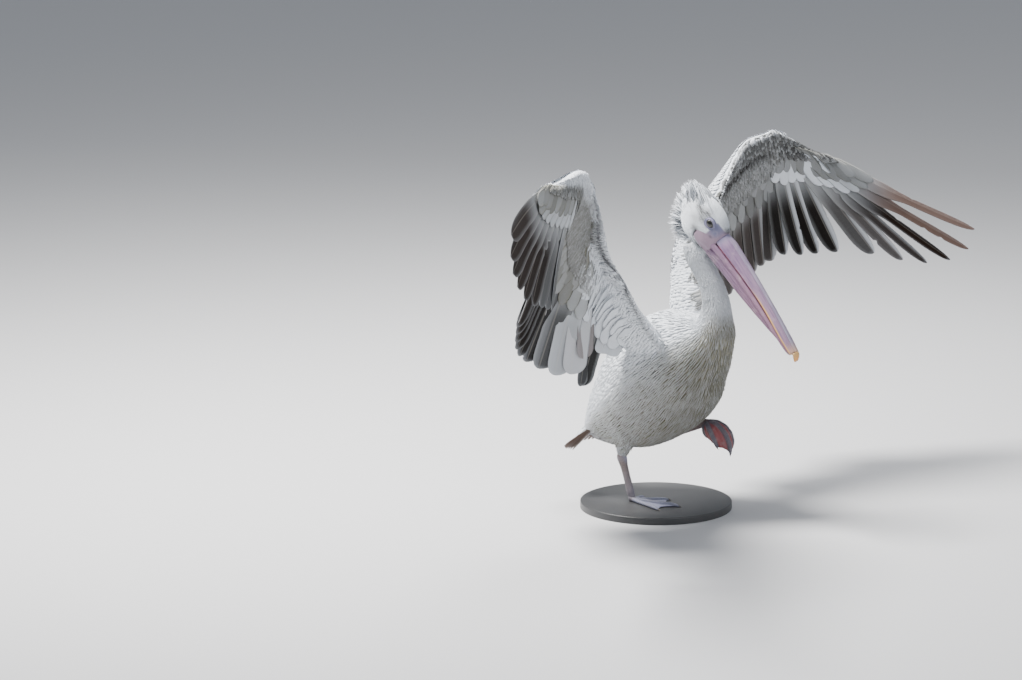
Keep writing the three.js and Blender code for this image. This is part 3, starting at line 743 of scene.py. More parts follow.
# marks hold the shares of brown, grey, olive and a fourth colour; vane holds how far across and along
# a feather a place is, a chance that is the feather's own, and how much its shaft shows
def featherFinish(name, barbs, ribHeight, fourth, roughness, sheen):
    lustre = {"Sheen Weight": sheen, "Sheen Roughness": 0.5, "Specular IOR Level": feathers["gloss"] * sheen}
    made, paint = newFinish(name, Roughness=roughness, **lustre)
    brown, grey, olive, bare = paint.layer("marks")
    across, length, chance, shaft = paint.layer("vane")
    place = paint.place()
    cloud = noiseOn(paint, place, 22.0)
    fine = noiseOn(paint, place, 420.0, 2.0)
    # hollow lays the olive on thicker towards each feather's root and edges: painted shade in the grooves
    # between the feathers
    hollow = 0.2 + (1 - length) * 0.5 + across**2.0 * 0.7
    colour = paint.over(
        feathers["white"],
        ((grey * (0.9 + 0.2 * fine)).clamped(), feathers["grey"]),
        ((olive * hollow * (0.55 + 0.9 * cloud)).clamped(), feathers["olive"]),
        ((brown * (0.9 + 0.14 * fine + 0.06 * chance)).clamped(), feathers["dark"]),
        (bare, fourth),
    )
    colour = paint.mix(0.10 * chance + 0.10 * cloud, colour, feathers["dust"], "MULTIPLY")
    quill = (1 - across.between(0.02, 0.075)) * shaft
    colour = paint.mix(quill * 0.8, colour, feathers["shaft"])
    rib = paint.maths("SINE", (length * barbs - across * barbs * 0.22) * feathers["ribTurn"])
    return feed(made, paint, colour, None, rib * ribHeight + fine * 0.5, 0.0004, 0.5)


def skinFinish():
    # marks as on the feathers; vane holds how pink the bare skin is and how dark its fold, which is painted
    # shade in the crease
    made, paint = newFinish("skin", **{"Specular IOR Level": 0.3})
    brown, grey, olive, bare = paint.layer("marks")
    pink, fold = paint.layer("vane", 2)
    place = paint.place()
    cloud = noiseOn(paint, place, 120.0, 4.0)
    pores = paint.node("TexVoronoi", None, {"Vector": place, "Scale": 850.0})
    flesh = paint.over(
        paint.mix(pink, (0.165, 0.17, 0.27), (0.33, 0.23, 0.30)),
        (cloud.between(0.45, 0.75) * 0.35, (0.40, 0.34, 0.42)),
        ((1 - pores.between(0.0, 0.5)) * 0.3, (0.17, 0.13, 0.20)),
    )
    colour = paint.over(
        feathers["white"],
        (grey, feathers["grey"]),
        (olive * 0.8, feathers["olive"]),
        (brown, feathers["dark"]),
        (bare, flesh),
        # painted shade in the crescent fold and at the bill's corners
        (fold, (0.018, 0.014, 0.020)),
    )
    return feed(made, paint, colour, 0.8 - 0.35 * bare, pores * 0.5 + cloud * 0.5)


plumage = featherFinish("plumage", 20.0, 0.14, feathers["bare"], 0.78, 0.04)
quills = featherFinish("flightFeathers", 60.0, 0.35, feathers["warm"], 0.6, 0.012)


# Building feathers.
def ringPlaces(places):
    # the places across a feather, over its upper face and back under it, and which face each is on
    x = np.asarray(places, float)
    order = np.concatenate([np.arange(len(x)), np.arange(len(x) - 2, 0, -1)])
    face = np.where(np.arange(len(order)) < len(x), 1.0, -1.0)
    face[[0, len(x) - 1]] = 0.0
    return x[order], face


def vaneTemplate(stations, places):
    ring = 2 * places - 2
    quads = [
        (i * ring + r, (i + 1) * ring + r, (i + 1) * ring + (r + 1) % ring, i * ring + (r + 1) % ring)
        for i in range(stations - 1)
        for r in range(ring)
    ]
    tris = []
    for base, turn in ((0, 1), ((stations - 1) * ring, -1)):
        ends = ((0, 1, ring - 1), (places - 2, places - 1, places))
        tris += [[base + p for p in end][::turn] for end in ends]
        for a in range(1, places - 2):
            quads.append(tuple(base + p for p in (a, a + 1, ring - a - 1, ring - a))[::turn])
    return np.array(quads), np.array(tris), ring


# centre is (feather, station, 3); side and up fit it; the widths, thickness and camber are (feather, station)
def buildVanes(
    name, centre, side, up, left, right, places, thick, camber, marks, chance, shaft, bakeAt, rib=0.0
):
    count, stations = centre.shape[:2]
    quads, tris, ring = vaneTemplate(stations, len(places))
    x, face = ringPlaces(places)
    lateral = np.where(x < 0, x * left[..., None], x * right[..., None])
    body = thick[..., None] * (0.5 * (1 - 0.7 * np.abs(x)) + rib * (np.abs(x) < 0.08))
    height = face * body - camber[..., None] * x * x
    side, up = np.broadcast_to(side, centre.shape), np.broadcast_to(up, centre.shape)
    points = centre[:, :, None] + side[:, :, None] * lateral[..., None] + up[:, :, None] * height[..., None]
    farShare = np.linspace(0, 1, stations)[None, :, None]
    vane = stacked(np.abs(x), farShare, chance[:, None, None], float(shaft))
    if marks.ndim < 4:
        marks = marks[:, None, None] if marks.ndim == 2 else marks[:, :, None]
    marks = np.broadcast_to(marks, (*lateral.shape, 4))
    if bakeAt.ndim == 2:  # a small patch at each root's place
        patch = stacked(x / 2, farShare) * 0.003
        bakeAt = bakeAt[:, None, None] + patch
    shift = np.arange(count)[:, None, None] * stations * ring
    return makeMesh(
        name,
        points.reshape(-1, 3),
        (quads[None] + shift).reshape(-1, 4), (tris[None] + shift).reshape(-1, 3),
        marks.reshape(-1, 4),
        vane.reshape(-1, 4),
        bakeAt.reshape(-1, 2),
    )


# The skin's surface, for laying the small feathers on it.
class Surface:
    def __init__(self, piece):
        mesh = piece.data
        self.places = readVertices(mesh, "co")
        self.normals = readVertices(mesh, "normal")
        self.corners = [tuple(p.vertices) for p in mesh.polygons]
        self.tree = BVHTree.FromPolygons([Vector(p) for p in self.places], self.corners)

    def nearest(self, points):
        # the nearest places on the skin, their smooth normals and how far they were, in millimetres
        found = [self.tree.find_nearest(Vector(p)) for p in toScene(points)]
        spots = np.array([f[0] for f in found], float)
        faces = [self.corners[f[2]] for f in found]
        corners = np.array([(c[0], c[1], c[2], c[-1]) for c in faces])
        gaps = np.linalg.norm(self.places[corners] - spots[:, None], axis=2)
        weights = 1 / (gaps + 1e-5)
        normals = unit((self.normals[corners] * weights[..., None]).sum(1))
        return toBird(spots), normals, np.array([f[3] for f in found]) / placing["millimetre"]


skinSurface = Surface(skin)


def layOnSkin(roots, ways, lengths, stations, keep):
    # centre lines that follow the skin from the roots, with its normals; roots far off it or on bare skin go
    place, normal, gap = skinSurface.nearest(roots)
    a, b, side = headPlace(place).T
    bare = (bareShare(a, b) + crescentShare(a, b)) * canBeBare(a, b, side)
    kept = (gap < keep) & (bare < faceLook["shown"])
    place, normal, way = place[kept], normal[kept], ways[kept]
    step = (lengths[kept] / (stations - 1))[:, None]
    way = unit(way - normal * (way * normal).sum(1, keepdims=True))
    places, normals = [place], [normal]
    for _ in range(stations - 1):
        place, normal, _ = skinSurface.nearest(place + way * step)
        way = unit(way - normal * (way * normal).sum(1, keepdims=True))
        places.append(place)
        normals.append(normal)
    return kept, np.stack(places, 1), np.stack(normals, 1)


# Flight feathers: each is its own vane on a shaft, and from above the inner ones lap over the outer ones.
flightLook = {
    "stations": 46,
    "places": (-1, -0.9, -0.62, -0.3, -0.06, 0.06, 0.3, 0.62, 0.9, 1),
    "tilt": 0.115,
    "overlap": (1.04, 0.62),  # trailing and leading vane against the spacing of the feathers
    "widest": {"right": (40, 24), "left": (31, 17)},
    "narrowest": (13, 7),
    "roundTip": {"secondary": 0.87, "primary": 0.76},
    "narrowing": {"right": 0.16, "left": 0.42},  # of the outer primaries' vanes past the middle
    # [share from the inner feather to the outer, share of the length]
    "innerShort": {
        "right": [
            (0, 0.62), (0.1, 0.66), (0.15, 1.02), (0.21, 1.05), (0.27, 0.75),
            (0.35, 0.80), (0.42, 0.95), (0.5, 1), (1, 1),
        ],
        "left": [(0, 1), (1, 1)],
    },
    "denser": 1.35,  # how much closer together the stations are towards the tip
    "brownFrom": {"secondary": 0.38, "primary": 0.22},
    "rib": 0.45,
    "thick": (0.7, 2.6),  # at the tip and at the root
    "splits": 0.014,
    "camber": 0.02,  # of the width
    "shorter": 0.02,
}
# [share from the inner feather to the outer, (brown, grey, warm, paleness of the leading vane)] near the tips
flightTones = {
    ("right", "secondary"): [
        (0, (0.05, 0.10, 0.0, 0.2)), (0.12, (0.10, 0.15, 0.1, 0.2)), (0.14, (0.80, 0.85, 0.0, 0.1)),
        (0.22, (0.80, 0.85, 0.0, 0.1)), (0.27, (0.12, 0.65, 0.30, 0.2)),
        (0.36, (0.08, 0.60, 0.45, 0.2)), (0.44, (0.00, 0.05, 0.0, 0.2)),
        (0.50, (0.60, 0.70, 0.0, 0.3)), (0.58, (0.90, 0.85, 0.0, 0.3)), (1, (1.0, 0.90, 0.05, 0.3)),
    ],
    ("right", "primary"): [
        (0, (1.0, 0.9, 0.0, 0.1)), (0.08, (0.95, 0.9, 0.0, 0.2)), (0.15, (0.45, 1.0, 0.0, 0.5)),
        (0.36, (0.5, 1.0, 0.0, 0.5)), (0.45, (1.0, 0.9, 0.05, 0.1)), (1, (1.0, 0.9, 0.1, 0.1)),
    ],
    ("left", "secondary"): [
        (0, (0.55, 0.80, 0.10, 0.3)), (0.3, (0.70, 0.85, 0.12, 0.4)),
        (0.7, (0.78, 0.90, 0.15, 0.45)), (1, (0.85, 0.95, 0.05, 0.8)),
    ],
    ("left", "primary"): [
        (0, (0.97, 1.0, 0.0, 0.85)), (0.35, (1.0, 1.0, 0.0, 0.9)), (0.45, (0.70, 0.90, 0.05, 0.95)),
        (0.6, (0.75, 0.85, 0.15, 0.8)), (0.7, (1.0, 0.85, 0.05, 0.2)),
        (0.78, (1.0, 0.85, 0.2, 0.15)), (0.86, (0.55, 0.60, 0.9, 0.4)), (1, (0.50, 0.60, 0.9, 0.3)),
    ],
}


def stationShares(count):
    return 1 - (1 - np.linspace(0, 1, count)) ** flightLook["denser"]


def stripOfEach(count, x, far):
    # places on the bake's map, where each feather has a strip of its own
    strip = (np.arange(count)[:, None, None] + 0.5 + 0.46 * x) / count
    return stacked(strip, 0.01 + 0.98 * far)


def flightLength(u):
    inner, outer = wingShares(u)
    return np.where(u < wrist, along(inner, flight["secondaryLength"]), along(outer, flight["primaryLength"]))


def spreadAt(wing, u, reach, step=0.012):
    # the gap between neighbouring ways at this distance along a feather, for each unit of u
    high, low = np.minimum(u + step, 1), np.maximum(u - step, 0)
    ends = [wingPoint(wing, v) + featherWay(wing, v) * reach[..., None] for v in (high, low)]
    return (ends[0] - ends[1]) / (high - low)[..., None]


def distalWay(wing, u, way, normal):
    side = unit(np.cross(way, normal))
    gap = spreadAt(wing, u, np.full(np.shape(u), float(arm["middle"])))
    return side * np.sign((side * gap).sum(-1, keepdims=True))


def flightFeathers(side, kind):
    wing, look = wings[side], flightLook
    primary = kind == "primary"
    count = flight["primaries" if primary else "secondaries"]
    low, high = (wrist, 1.0) if primary else (arm["firstFeather"], wrist)
    share = (np.arange(count) + 0.5) / count
    u = low + (high - low) * share
    length = flightLength(u) * (1 - rng.uniform(0, look["shorter"], count))
    if not primary:
        length = length * along(share, look["innerShort"][side])
    s = np.broadcast_to(stationShares(look["stations"]), (count, look["stations"]))
    reach = flight["start"] + (length[:, None] - flight["start"]) * s
    root, way, normal = wingFrame(wing, u)
    bow = flight["bow"] * np.sin(math.pi * reach / length[:, None])
    centre = root[:, None] + way[:, None] * reach[..., None] + normal[:, None] * bow[..., None]
    uGrid = np.broadcast_to(u[:, None], reach.shape)
    spacing = np.linalg.norm(spreadAt(wing, uGrid, reach), axis=-1) * (high - low) / count
    distal = distalWay(wing, u, way, normal)
    sides = unit(distal + normal * look["tilt"])
    ups = unit(normal - distal * look["tilt"])
    form = (0.1 + 0.9 * ease(s, 0.0, 0.22)) * roundEnd(s, look["roundTip"][kind], 2.4, 0.01)
    if primary:
        form = form * (1 - look["narrowing"][side] * ease(share, 0.42, 0.62)[:, None] * ease(s, 0.42, 0.6))
    widths = []
    for lap, widest, narrowest in zip(look["overlap"], look["widest"][side], look["narrowest"]):
        split = (rng.random(s.shape) < look["splits"]) & (s > 0.3)
        widths.append(np.clip(spacing * lap, narrowest, widest) * form * (1 - 0.24 * split))
    thick = blend(look["thick"], (1 - s) ** 1.2)
    chance = rng.random(count)
    brown, grey, warm, pale = np.moveaxis(along(share, flightTones[side, kind]), -1, 0)[:, :, None, None]
    x = ringPlaces(look["places"])[0]
    far = s[..., None]
    rim = 0.8 - 0.2 * (1 - ease(share, 0.22, 0.30))[:, None, None] * (not primary)
    fringe = 1 - 0.75 * ease((np.abs(x) - rim) / (0.98 - rim), 0, 1) - 0.5 * ease(far, 0.965, 0.995)
    dark = brown * ease(far, look["brownFrom"][kind], 0.62) * held(fringe)
    dark = dark * (1 - pale * ease(x, 0.0, 0.35))
    ashen = grey * (0.55 + 0.45 * ease(far, 0.2, 0.7)) * (1 - 0.75 * pale * ease(x, 0.1, 0.5))
    tan = warm * ease(far, 0.2, 0.55) * (0.7 + 0.3 * chance[:, None, None])
    marks = stacked(dark, ashen, 0.25 * (1 - far), tan)
    name = {"primary": "primaries_", "secondary": "secondaries_"}[kind] + side
    made = buildVanes(
        kind + "Vanes_" + side, centre, sides[:, None], ups[:, None], *widths, look["places"], thick,
        look["camber"] * (widths[0] + widths[1]), marks, chance, 1.0, stripOfEach(count, x, far), look["rib"],
    )
    finishPiece(made, quills, kind + "_feather", name)


for side in wings:
    for kind in ("secondary", "primary"):
        flightFeathers(side, kind)
print("flight feathers")


# Coverts: rows that overlap from the leading edge back over the roots of the flight feathers, on both faces.
covertLook = {
    "smallStep": (7.8, 8.4),  # along the wing and from row to row
    "reach": (0.03, 0.992),  # from and to, along the wing
    "smallLength": (15, 34),
    "smallHalfWidth": (3.7, 10),
    "smallWidthShare": 0.80,  # of the gap to the next feather
    "smallOverLong": 3.0,
    "sunk": 0.8,  # how deep in the wing a root is
    "probe": 0.004,  # the step along the wing for measuring its spread
    "buried": 0.5,  # those deeper under the skin than this are left out
    "smallPlaces": (-1, 0, 1),
    "stations": 5,
    "lift": {1: 1.6, -1: 0.9},
    "back": (-42, -92),  # how far short of the covert line the small ones stop, on the arm and on the hand
    "long": {
        # name: (share of the flight feather's length at the root and the tip, half width share, lift)
        "greater": (0.10, 0.50, 1.0, 0.7),
        "median": (0.06, 0.38, 0.95, 1.5),
    },
    "longPlaces": (-1, -0.75, -0.3, 0.3, 0.75, 1),
    "longStations": 11,
    "longHalfWidth": (8, 19),
    "thick": 0.38,
    "longThick": 0.8,
    "bright": {"right": 0.55, "left": 0.95},  # how white the primaries' greater coverts are below
    "sheetHalf": 2.4,
}
wingTones = {
    # at and wide: where the dark line runs from the leading edge back; dark: how dark it is along the wing
    # on the lower faces (-1) the heavy grey and olive, and the left one's grey reaching almost to the rim,
    # are partly the underwing's own grey-olive and partly painted shade
    ("right", -1): {
        "rim": 0.28, "at": 0.19, "wide": 0.07, "grey": 0.82, "olive": 0.45, "whiteInner": 0.36,
        "dark": [
            (0, 0.3), (0.2, 0.6), (0.36, 0.95), (0.46, 0.8), (0.62, 0.6), (0.76, 0.35), (0.82, 0), (1, 0),
        ],
    },
    ("left", -1): {
        "rim": 0.05, "at": 0.33, "wide": 0.10, "grey": 0.82, "olive": 0.25, "whiteInner": 0.0,
        "dark": [(0.0, 0.0), (0.26, 0.0), (0.36, 0.6), (0.45, 0.97), (0.70, 0.97), (0.79, 0.5), (1, 0.3)],
    },
    ("right", 1): {
        "rim": 0.34, "at": 0.3, "wide": 0.10, "grey": 0.2, "olive": 0.1, "whiteInner": 0.2,
        "dark": [(0.0, 0.1), (0.5, 0.4), (0.8, 0.35), (1, 0.3)],
    },
    ("left", 1): {
        "rim": 0.34, "at": 0.3, "wide": 0.08, "grey": 0.2, "olive": 0.15, "whiteInner": 0.3,
        "dark": [(0.0, 0.0), (0.3, 0.1), (0.5, 0.35), (0.8, 0.3), (1, 0.1)],
    },
}


def wingPlace(wing, u, c, face):
    # a place on the arm or the flight feathers; c is millimetres behind the bone, or ahead of it if below 0
    centre, way, normal = wingFrame(wing, u)
    back, thick = np.moveaxis(along(u, arm["reach"]), -1, 0)
    front = leadingEdge(wing, u) - centre
    behind = held(c / back)
    ahead = held(-c / np.linalg.norm(front, axis=-1))
    rise = thick * (1 - arm["thinner"] * behind) * np.sqrt(held(1 - (behind + ahead) ** 2))
    length = flightLength(np.maximum(u, arm["firstFeather"]))
    bow = flight["bow"] * np.sin(math.pi * held(c / length))
    rise = np.maximum(rise, face * bow + covertLook["sheetHalf"] * ease(c, 0, 30))
    place = centre + way * np.clip(c, 0, None)[..., None] + front * ahead[..., None]
    return place + normal * (face * rise)[..., None]


def wingSurface(wing, u, c, face, lift, step=1.5):
    # that place, lifted off the surface, with the surface's own normal there
    u, c, face = np.broadcast_arrays(np.asarray(u, float), c, face)
    front = np.linalg.norm(leadingEdge(wing, u) - wingPoint(wing, u), axis=-1)
    c = np.maximum(c, -front * 0.985)
    place = wingPlace(wing, u, c, face)
    alongWing = wingPlace(wing, np.minimum(u + 0.003, 1), c, face) - wingPlace(wing, u - 0.003, c, face)
    acrossWing = wingPlace(wing, u, c + step, face) - wingPlace(wing, u, c - step, face)
    up = unit(np.cross(alongWing, acrossWing))
    _, way, normal = wingFrame(wing, u)
    outward = normal * face[..., None] - way * (held(-c / front) ** 2)[..., None]
    up = up * np.sign((up * outward).sum(-1, keepdims=True))
    return place + up * np.broadcast_to(lift, u.shape)[..., None], up


def covertMarks(side, face, u, c, front, back, chance):
    tone = wingTones[side, face]
    depth = (c + front) / (front + back)
    line = along(u, tone["dark"]) * bump(depth, tone["at"], tone["wide"])
    hand = ease(u, wrist - 0.02, wrist + 0.06)
    freckle = inner = 0
    if (side, face) == ("left", -1):
        line = np.maximum(line * (1 - hand), hand * (0.35 + 0.45 * (chance > 0.5)) * bump(depth, 0.34, 0.26))
        freckle = 0.5 * (chance > 0.42) * (1 - ease(depth, 0.3, 0.5)) * ease(u, 0.25, 0.4)
    else:
        line = line * (1 - 0.6 * hand)
    brown = held(np.maximum(line * (0.75 + 0.35 * chance), freckle))
    plain = ease(depth, tone["rim"] * 0.75, tone["rim"] * 1.25)
    if tone["whiteInner"]:
        inner = 1 - ease(u + 0.06 * (chance - 0.5), tone["whiteInner"] - 0.04, tone["whiteInner"] + 0.10)
        ahead = (1 - ease(depth + 0.25 * (chance - 0.5), 0.42, 0.6)) * (u < 0.45) * (tone["whiteInner"] > 0.3)
        inner = held(inner + ahead)
    grey = tone["grey"] * plain * (1 - inner) * (0.86 + 0.28 * chance)
    olive = tone["olive"] * plain * (1 - inner)
    return stacked(brown, held(grey), olive, 0)


def evenSteps(wing, step):
    # u at even distances along the wing, as far apart as the step on its longer edge
    fine = np.linspace(*covertLook["reach"], 600)
    edges = np.stack([wingPoint(wing, fine), leadingEdge(wing, fine)])
    run = runningSum(np.linalg.norm(np.diff(edges, axis=1), axis=-1).max(0))
    return np.interp(np.arange(0, run[-1], step), run, fine)


def smallCoverts(side):
    wing, look = wings[side], covertLook
    rows = []
    us = evenSteps(wing, look["smallStep"][0])
    gaps = np.gradient(us)
    front = np.linalg.norm(leadingEdge(wing, us) - wingPoint(wing, us), axis=-1)
    back = along(us, arm["reach"])[..., 0]
    for face in (1, -1):
        for u, gap, ahead, behind in zip(us, gaps, front, back):
            run = ahead + behind + blend(look["back"], ease(u, wrist - 0.02, wrist + 0.05))
            count = max(3, int(run / look["smallStep"][1]))
            c = -ahead * 0.99 + (np.arange(count) + rng.uniform(0.2, 0.8)) * run / count
            rows.append(stacked(u, c, ahead, behind, float(face), gap))
    u, c, front, back, face, gap = np.concatenate(rows).T
    u = np.clip(u + rng.uniform(-0.35, 0.35, len(u)) * gap, 0.02, 0.995)
    count, stations = len(u), look["stations"]
    chance = rng.random(count)
    depth = (c + front) / (front + back)
    length = blend(look["smallLength"], ease(depth, 0.05, 0.9))
    length = length * (0.88 + 0.24 * chance) * np.where(u > 0.93, 0.8, 1)
    s = np.linspace(0, 1, stations)
    run = c[:, None] + length[:, None] * s
    uGrid, faces = u[:, None] + 0 * run, face[:, None] + 0 * run
    high, low = np.minimum(uGrid + look["probe"], 1), uGrid - look["probe"]
    spread = wingPlace(wing, high, run, faces) - wingPlace(wing, low, run, faces)
    room = np.linalg.norm(spread, axis=-1) / (2 * look["probe"]) * gap[:, None]
    half = np.clip(room * look["smallWidthShare"], *look["smallHalfWidth"])
    top = np.where(face > 0, look["lift"][1], look["lift"][-1]) * (0.25 + 0.75 * ease(u, 0.28, 0.42))
    lift = -look["sunk"] + (top[:, None] + look["sunk"]) * s**0.8 + 0.3 * (chance[:, None] - 0.5) * s
    lift = lift + look["smallOverLong"] * ease(run, 22, 66)
    place, up = wingSurface(wing, uGrid, run, faces, lift)
    middle = place[:, stations // 2]
    under, outward, _ = skinSurface.nearest(middle)
    shown = ((middle - under) * outward).sum(1) > -look["buried"]
    run = unit(np.gradient(place, axis=1))
    up = unit(up - run * (up * run).sum(-1, keepdims=True))
    sides = unit(np.cross(run, up))
    form = np.sqrt(np.clip(1 - s**3.0, 0.02, 1)) * (0.5 + 0.5 * ease(s, 0, 0.35))
    width = half * form
    at = c[:, None] + length[:, None] * s * 0.6
    facts = [np.broadcast_to(v.reshape(count, -1), at.shape) for v in (u, at, front, back, chance)]
    marks = np.empty((count, stations, 4))
    for f in (1, -1):
        chosen = face == f
        marks[chosen] = covertMarks(side, f, *[v[chosen] for v in facts])
    marks[..., 0] *= 1 - 0.35 * s**3
    thick = np.full(width.shape, look["thick"])
    bakeAt = stacked(0.02 + 0.47 * np.clip(depth, 0, 1.3) / 1.3 + (face < 0) * 0.49, 0.02 + 0.95 * u)
    place, sides, up, width, thick, marks, chance, bakeAt = [
        v[shown] for v in (place, sides, up, width, thick, marks, chance, bakeAt)
    ]
    made = buildVanes(
        "coverts_" + side, place, sides, up, width, width, look["smallPlaces"], thick, 0.06 * width, marks,
        chance, 0.0, bakeAt,
    )
    finishPiece(made, plumage, "plumage")
    return marks[:, 2], place


def longCoverts(side):
    wing, look = wings[side], covertLook
    bands = []
    parts = [(arm["firstFeather"], wrist, flight["secondaries"], 0), (wrist, 1.0, flight["primaries"], 1)]
    for face in (1, -1):
        for name, row in look["long"].items():
            for first, last, count, outer in parts:
                share = (np.arange(count) + (0.0 if name == "median" else 0.5)) / count
                u = np.clip(first + (last - first) * share, 0.1, 0.995)
                band = np.broadcast_arrays(u, face, *row, (last - first) / count, outer)
                bands.append(np.stack(band, -1).astype(float))
    u, face, low, high, wide, lift, step, outer = np.concatenate(bands).T
    count, stations = len(u), look["longStations"]
    chance = rng.random(count)
    flightLong = flightLength(u)
    s = stationShares(stations)
    top = high * (1 - 0.22 * outer) * (0.96 + 0.08 * chance)
    reach = flightLong[:, None] * (low[:, None] + (top - low)[:, None] * s)
    rise = -2.0 + (lift[:, None] + 2.0) * ease(s, -0.2, 0.8)
    uGrid = u[:, None] + 0 * reach
    place, up = wingSurface(wing, uGrid, reach, face[:, None], rise)
    run = unit(np.gradient(place, axis=1))
    up = unit(up - run * (up * run).sum(-1, keepdims=True))
    spacing = np.linalg.norm(spreadAt(wing, uGrid, reach), axis=-1) * step[:, None]
    distal = distalWay(wing, u, *wingFrame(wing, u)[1:])[:, None]
    sides = unit(distal - run * (distal * run).sum(-1, keepdims=True) + up * 0.10 * face[:, None, None])
    up = unit(np.cross(sides, run)) * np.sign((np.cross(sides, run) * up).sum(-1, keepdims=True))
    form = roundEnd(s, 0.7, 2.2, 0.03) * (0.3 + 0.7 * ease(s, 0, 0.3))
    width = np.clip(spacing * wide[:, None], *look["longHalfWidth"]) * form
    tone = np.empty((count, 4))
    for f in (1, -1):
        chosen = face == f
        tone[chosen] = covertMarks(side, f, u[chosen], 90 + 0 * u[chosen], 30.0, 110.0, chance[chosen])
    greater = low == look["long"]["greater"][0]
    bright = ease(u, wrist - 0.03, wrist + 0.02) * (1 - ease(u, 0.93, 0.97)) * greater
    tone[:, :3] *= (1 - look["bright"][side] * bright * (face < 0))[:, None]
    tone[:, 0] += 0.22 * (u < wrist) * (side == "left") * chance
    marks = np.repeat(tone[:, None], stations, 1)
    thick = np.full(width.shape, look["longThick"])
    bakeAt = stacked(0.02 + 0.45 * greater + 0.2 * chance + (face < 0) * 0.24, 0.02 + 0.95 * u)
    made = buildVanes(
        "greaterCoverts_" + side, place, sides, up, width, width, look["longPlaces"], thick, 0.1 * width,
        marks, chance, 0.6, bakeAt,
    )
    finishPiece(made, quills, "secondary_feather")


coatRoots, coatMarks, coatWays = [], [], []
for side in wings:
    marks, place = smallCoverts(side)
    coatRoots.append(place[:, 0])
    coatWays.append(unit(place[:, 1] - place[:, 0]))
    coatMarks.append(marks)
    longCoverts(side)
print("coverts")


# The coat on body, neck, head and shanks: rows of small feathers that lie along the skin.
bodyCoat = {
    # from and to are t along the body, row and column are steps, angles are sines from the belly to the back,
    # and lift is a share of the coat's depth
    "belly": {
        "from": 0.05, "to": 0.37, "row": 9.0, "column": 6.0, "angles": (-2, 0.30),
        "length": [(0, 32), (0.3, 38), (0.4, 38)], "half": [(0, 5.2), (0.4, 4.7)],
        "round": 2.0, "camber": 0.5, "lift": 0.55,
    },
    "breast": {
        "from": 0.37, "to": 0.69, "row": 8.0, "column": 5.4, "angles": (-2, 0.30),
        "length": [(0.35, 36), (0.55, 32), (0.7, 22)], "half": [(0.35, 4.7), (0.5, 4.3), (0.7, 3.2)],
        "round": 2.0, "camber": 0.5, "lift": 0.6,
    },
    "back": {
        "from": 0.05, "to": 0.69, "row": 9.0, "column": 7.6, "angles": (0.30, 1.0),
        "length": [(0, 34), (0.3, 36), (0.6, 26), (0.7, 20)], "half": [(0, 7.6), (0.5, 6.8), (0.7, 4.0)],
        "round": 2.8, "camber": 0.16, "lift": 0.6,
    },
    "neck": {
        "from": 0.69, "to": 0.995, "row": 4.8, "column": 3.7, "angles": (-2, 2),
        "length": [(0.69, 20), (0.85, 14), (1, 11)], "half": [(0.69, 2.9), (0.85, 2.2), (1, 1.9)],
        "round": 1.7, "camber": 0.35, "lift": 0.8,
    },
}
coatMake = {
    "places": (-1, 0, 1),
    "stations": 5,
    "thick": 0.42,
    "sunk": 0.8,  # how deep in the skin a root is
}


def bakePlaces(across, length):
    return stacked(0.01 + 0.97 * across, 0.01 + 0.97 * length)


def ringAngles(halfWidth, halfDepth, step, row, jitter):
    # angles round an oval ring, a step apart along it, with every other row shifted by half a step
    angle = np.linspace(0, fullTurn, 241)
    rim = runningSum(np.hypot(np.diff(halfWidth * np.cos(angle)), np.diff(halfDepth * np.sin(angle))))
    count = max(6, int(rim[-1] / step))
    at = (np.arange(count) + 0.5 * (row % 2) + rng.uniform(-jitter, jitter, count)) / count * rim[-1]
    return np.interp(at % rim[-1], rim, angle)


def rowsOnTube(stops, low, high, rowStep, columnStep):
    # roots in staggered rows: t and angle, spaced by the steps in millimetres
    fine = np.linspace(low, high, 200)
    run = runningSum(np.linalg.norm(np.diff(along(fine, stops)[:, :3], axis=0), axis=1))
    rows = max(2, int(run[-1] / rowStep))
    ts, angles = [], []
    for k in range(rows):
        t = np.interp(run[-1] * (k + 0.5) / rows, run, fine)
        halfWidth, halfDepth = along(np.array(t), stops)[3:5]
        angles.append(ringAngles(halfWidth, halfDepth, columnStep, k, 0.28))
        ts.append(held(t + rng.uniform(-0.3, 0.3, len(angles[-1])) * (high - low) / rows))
    return np.concatenate(ts), np.concatenate(angles)


def layCoat(
    name, roots, ways, length, half, marksRule, bakeAt, depth, roundness, camber, keep=12.0, flare=0.0
):
    # a piece of small feathers; roots may be keep off the skin, and flare is how far the tips stand out
    kept, centre, normal = layOnSkin(roots, ways, length, coatMake["stations"], keep)

    def each(value):
        return np.broadcast_to(value, len(kept))[kept][:, None]

    chance = rng.random(len(centre))
    s = np.linspace(0, 1, coatMake["stations"])
    depth, sunk = each(depth), coatMake["sunk"]
    rise = -sunk + (depth + sunk) * s**0.85 + depth * 0.35 * (chance[:, None] - 0.5) * s + each(flare) * s**2
    centre = centre + normal * rise[..., None]
    run = unit(np.gradient(centre, axis=1))
    up = unit(normal - run * (normal * run).sum(-1, keepdims=True))
    roll = (chance[:, None, None] - 0.5) * 0.35
    side = unit(np.cross(run, up) + up * roll)
    up = unit(np.cross(side, run))
    width = each(half) * (0.4 + 0.6 * ease(s, 0, 0.4)) * np.clip(1 - s**roundness, 0.05, 1) ** 0.75
    marks = marksRule(kept, chance)
    thick = np.full(width.shape, coatMake["thick"]) * (1 - 0.5 * s)
    made = buildVanes(
        name, centre, side, up, width, width, coatMake["places"], thick, camber * width, marks,
        chance, 0.0, bakeAt[kept],
    )
    finishPiece(made, plumage, "plumage")
    coatRoots.append(centre[:, 0])
    coatWays.append(run[:, 0])
    coatMarks.append(marks if marks.ndim == 2 else marks[:, 0])


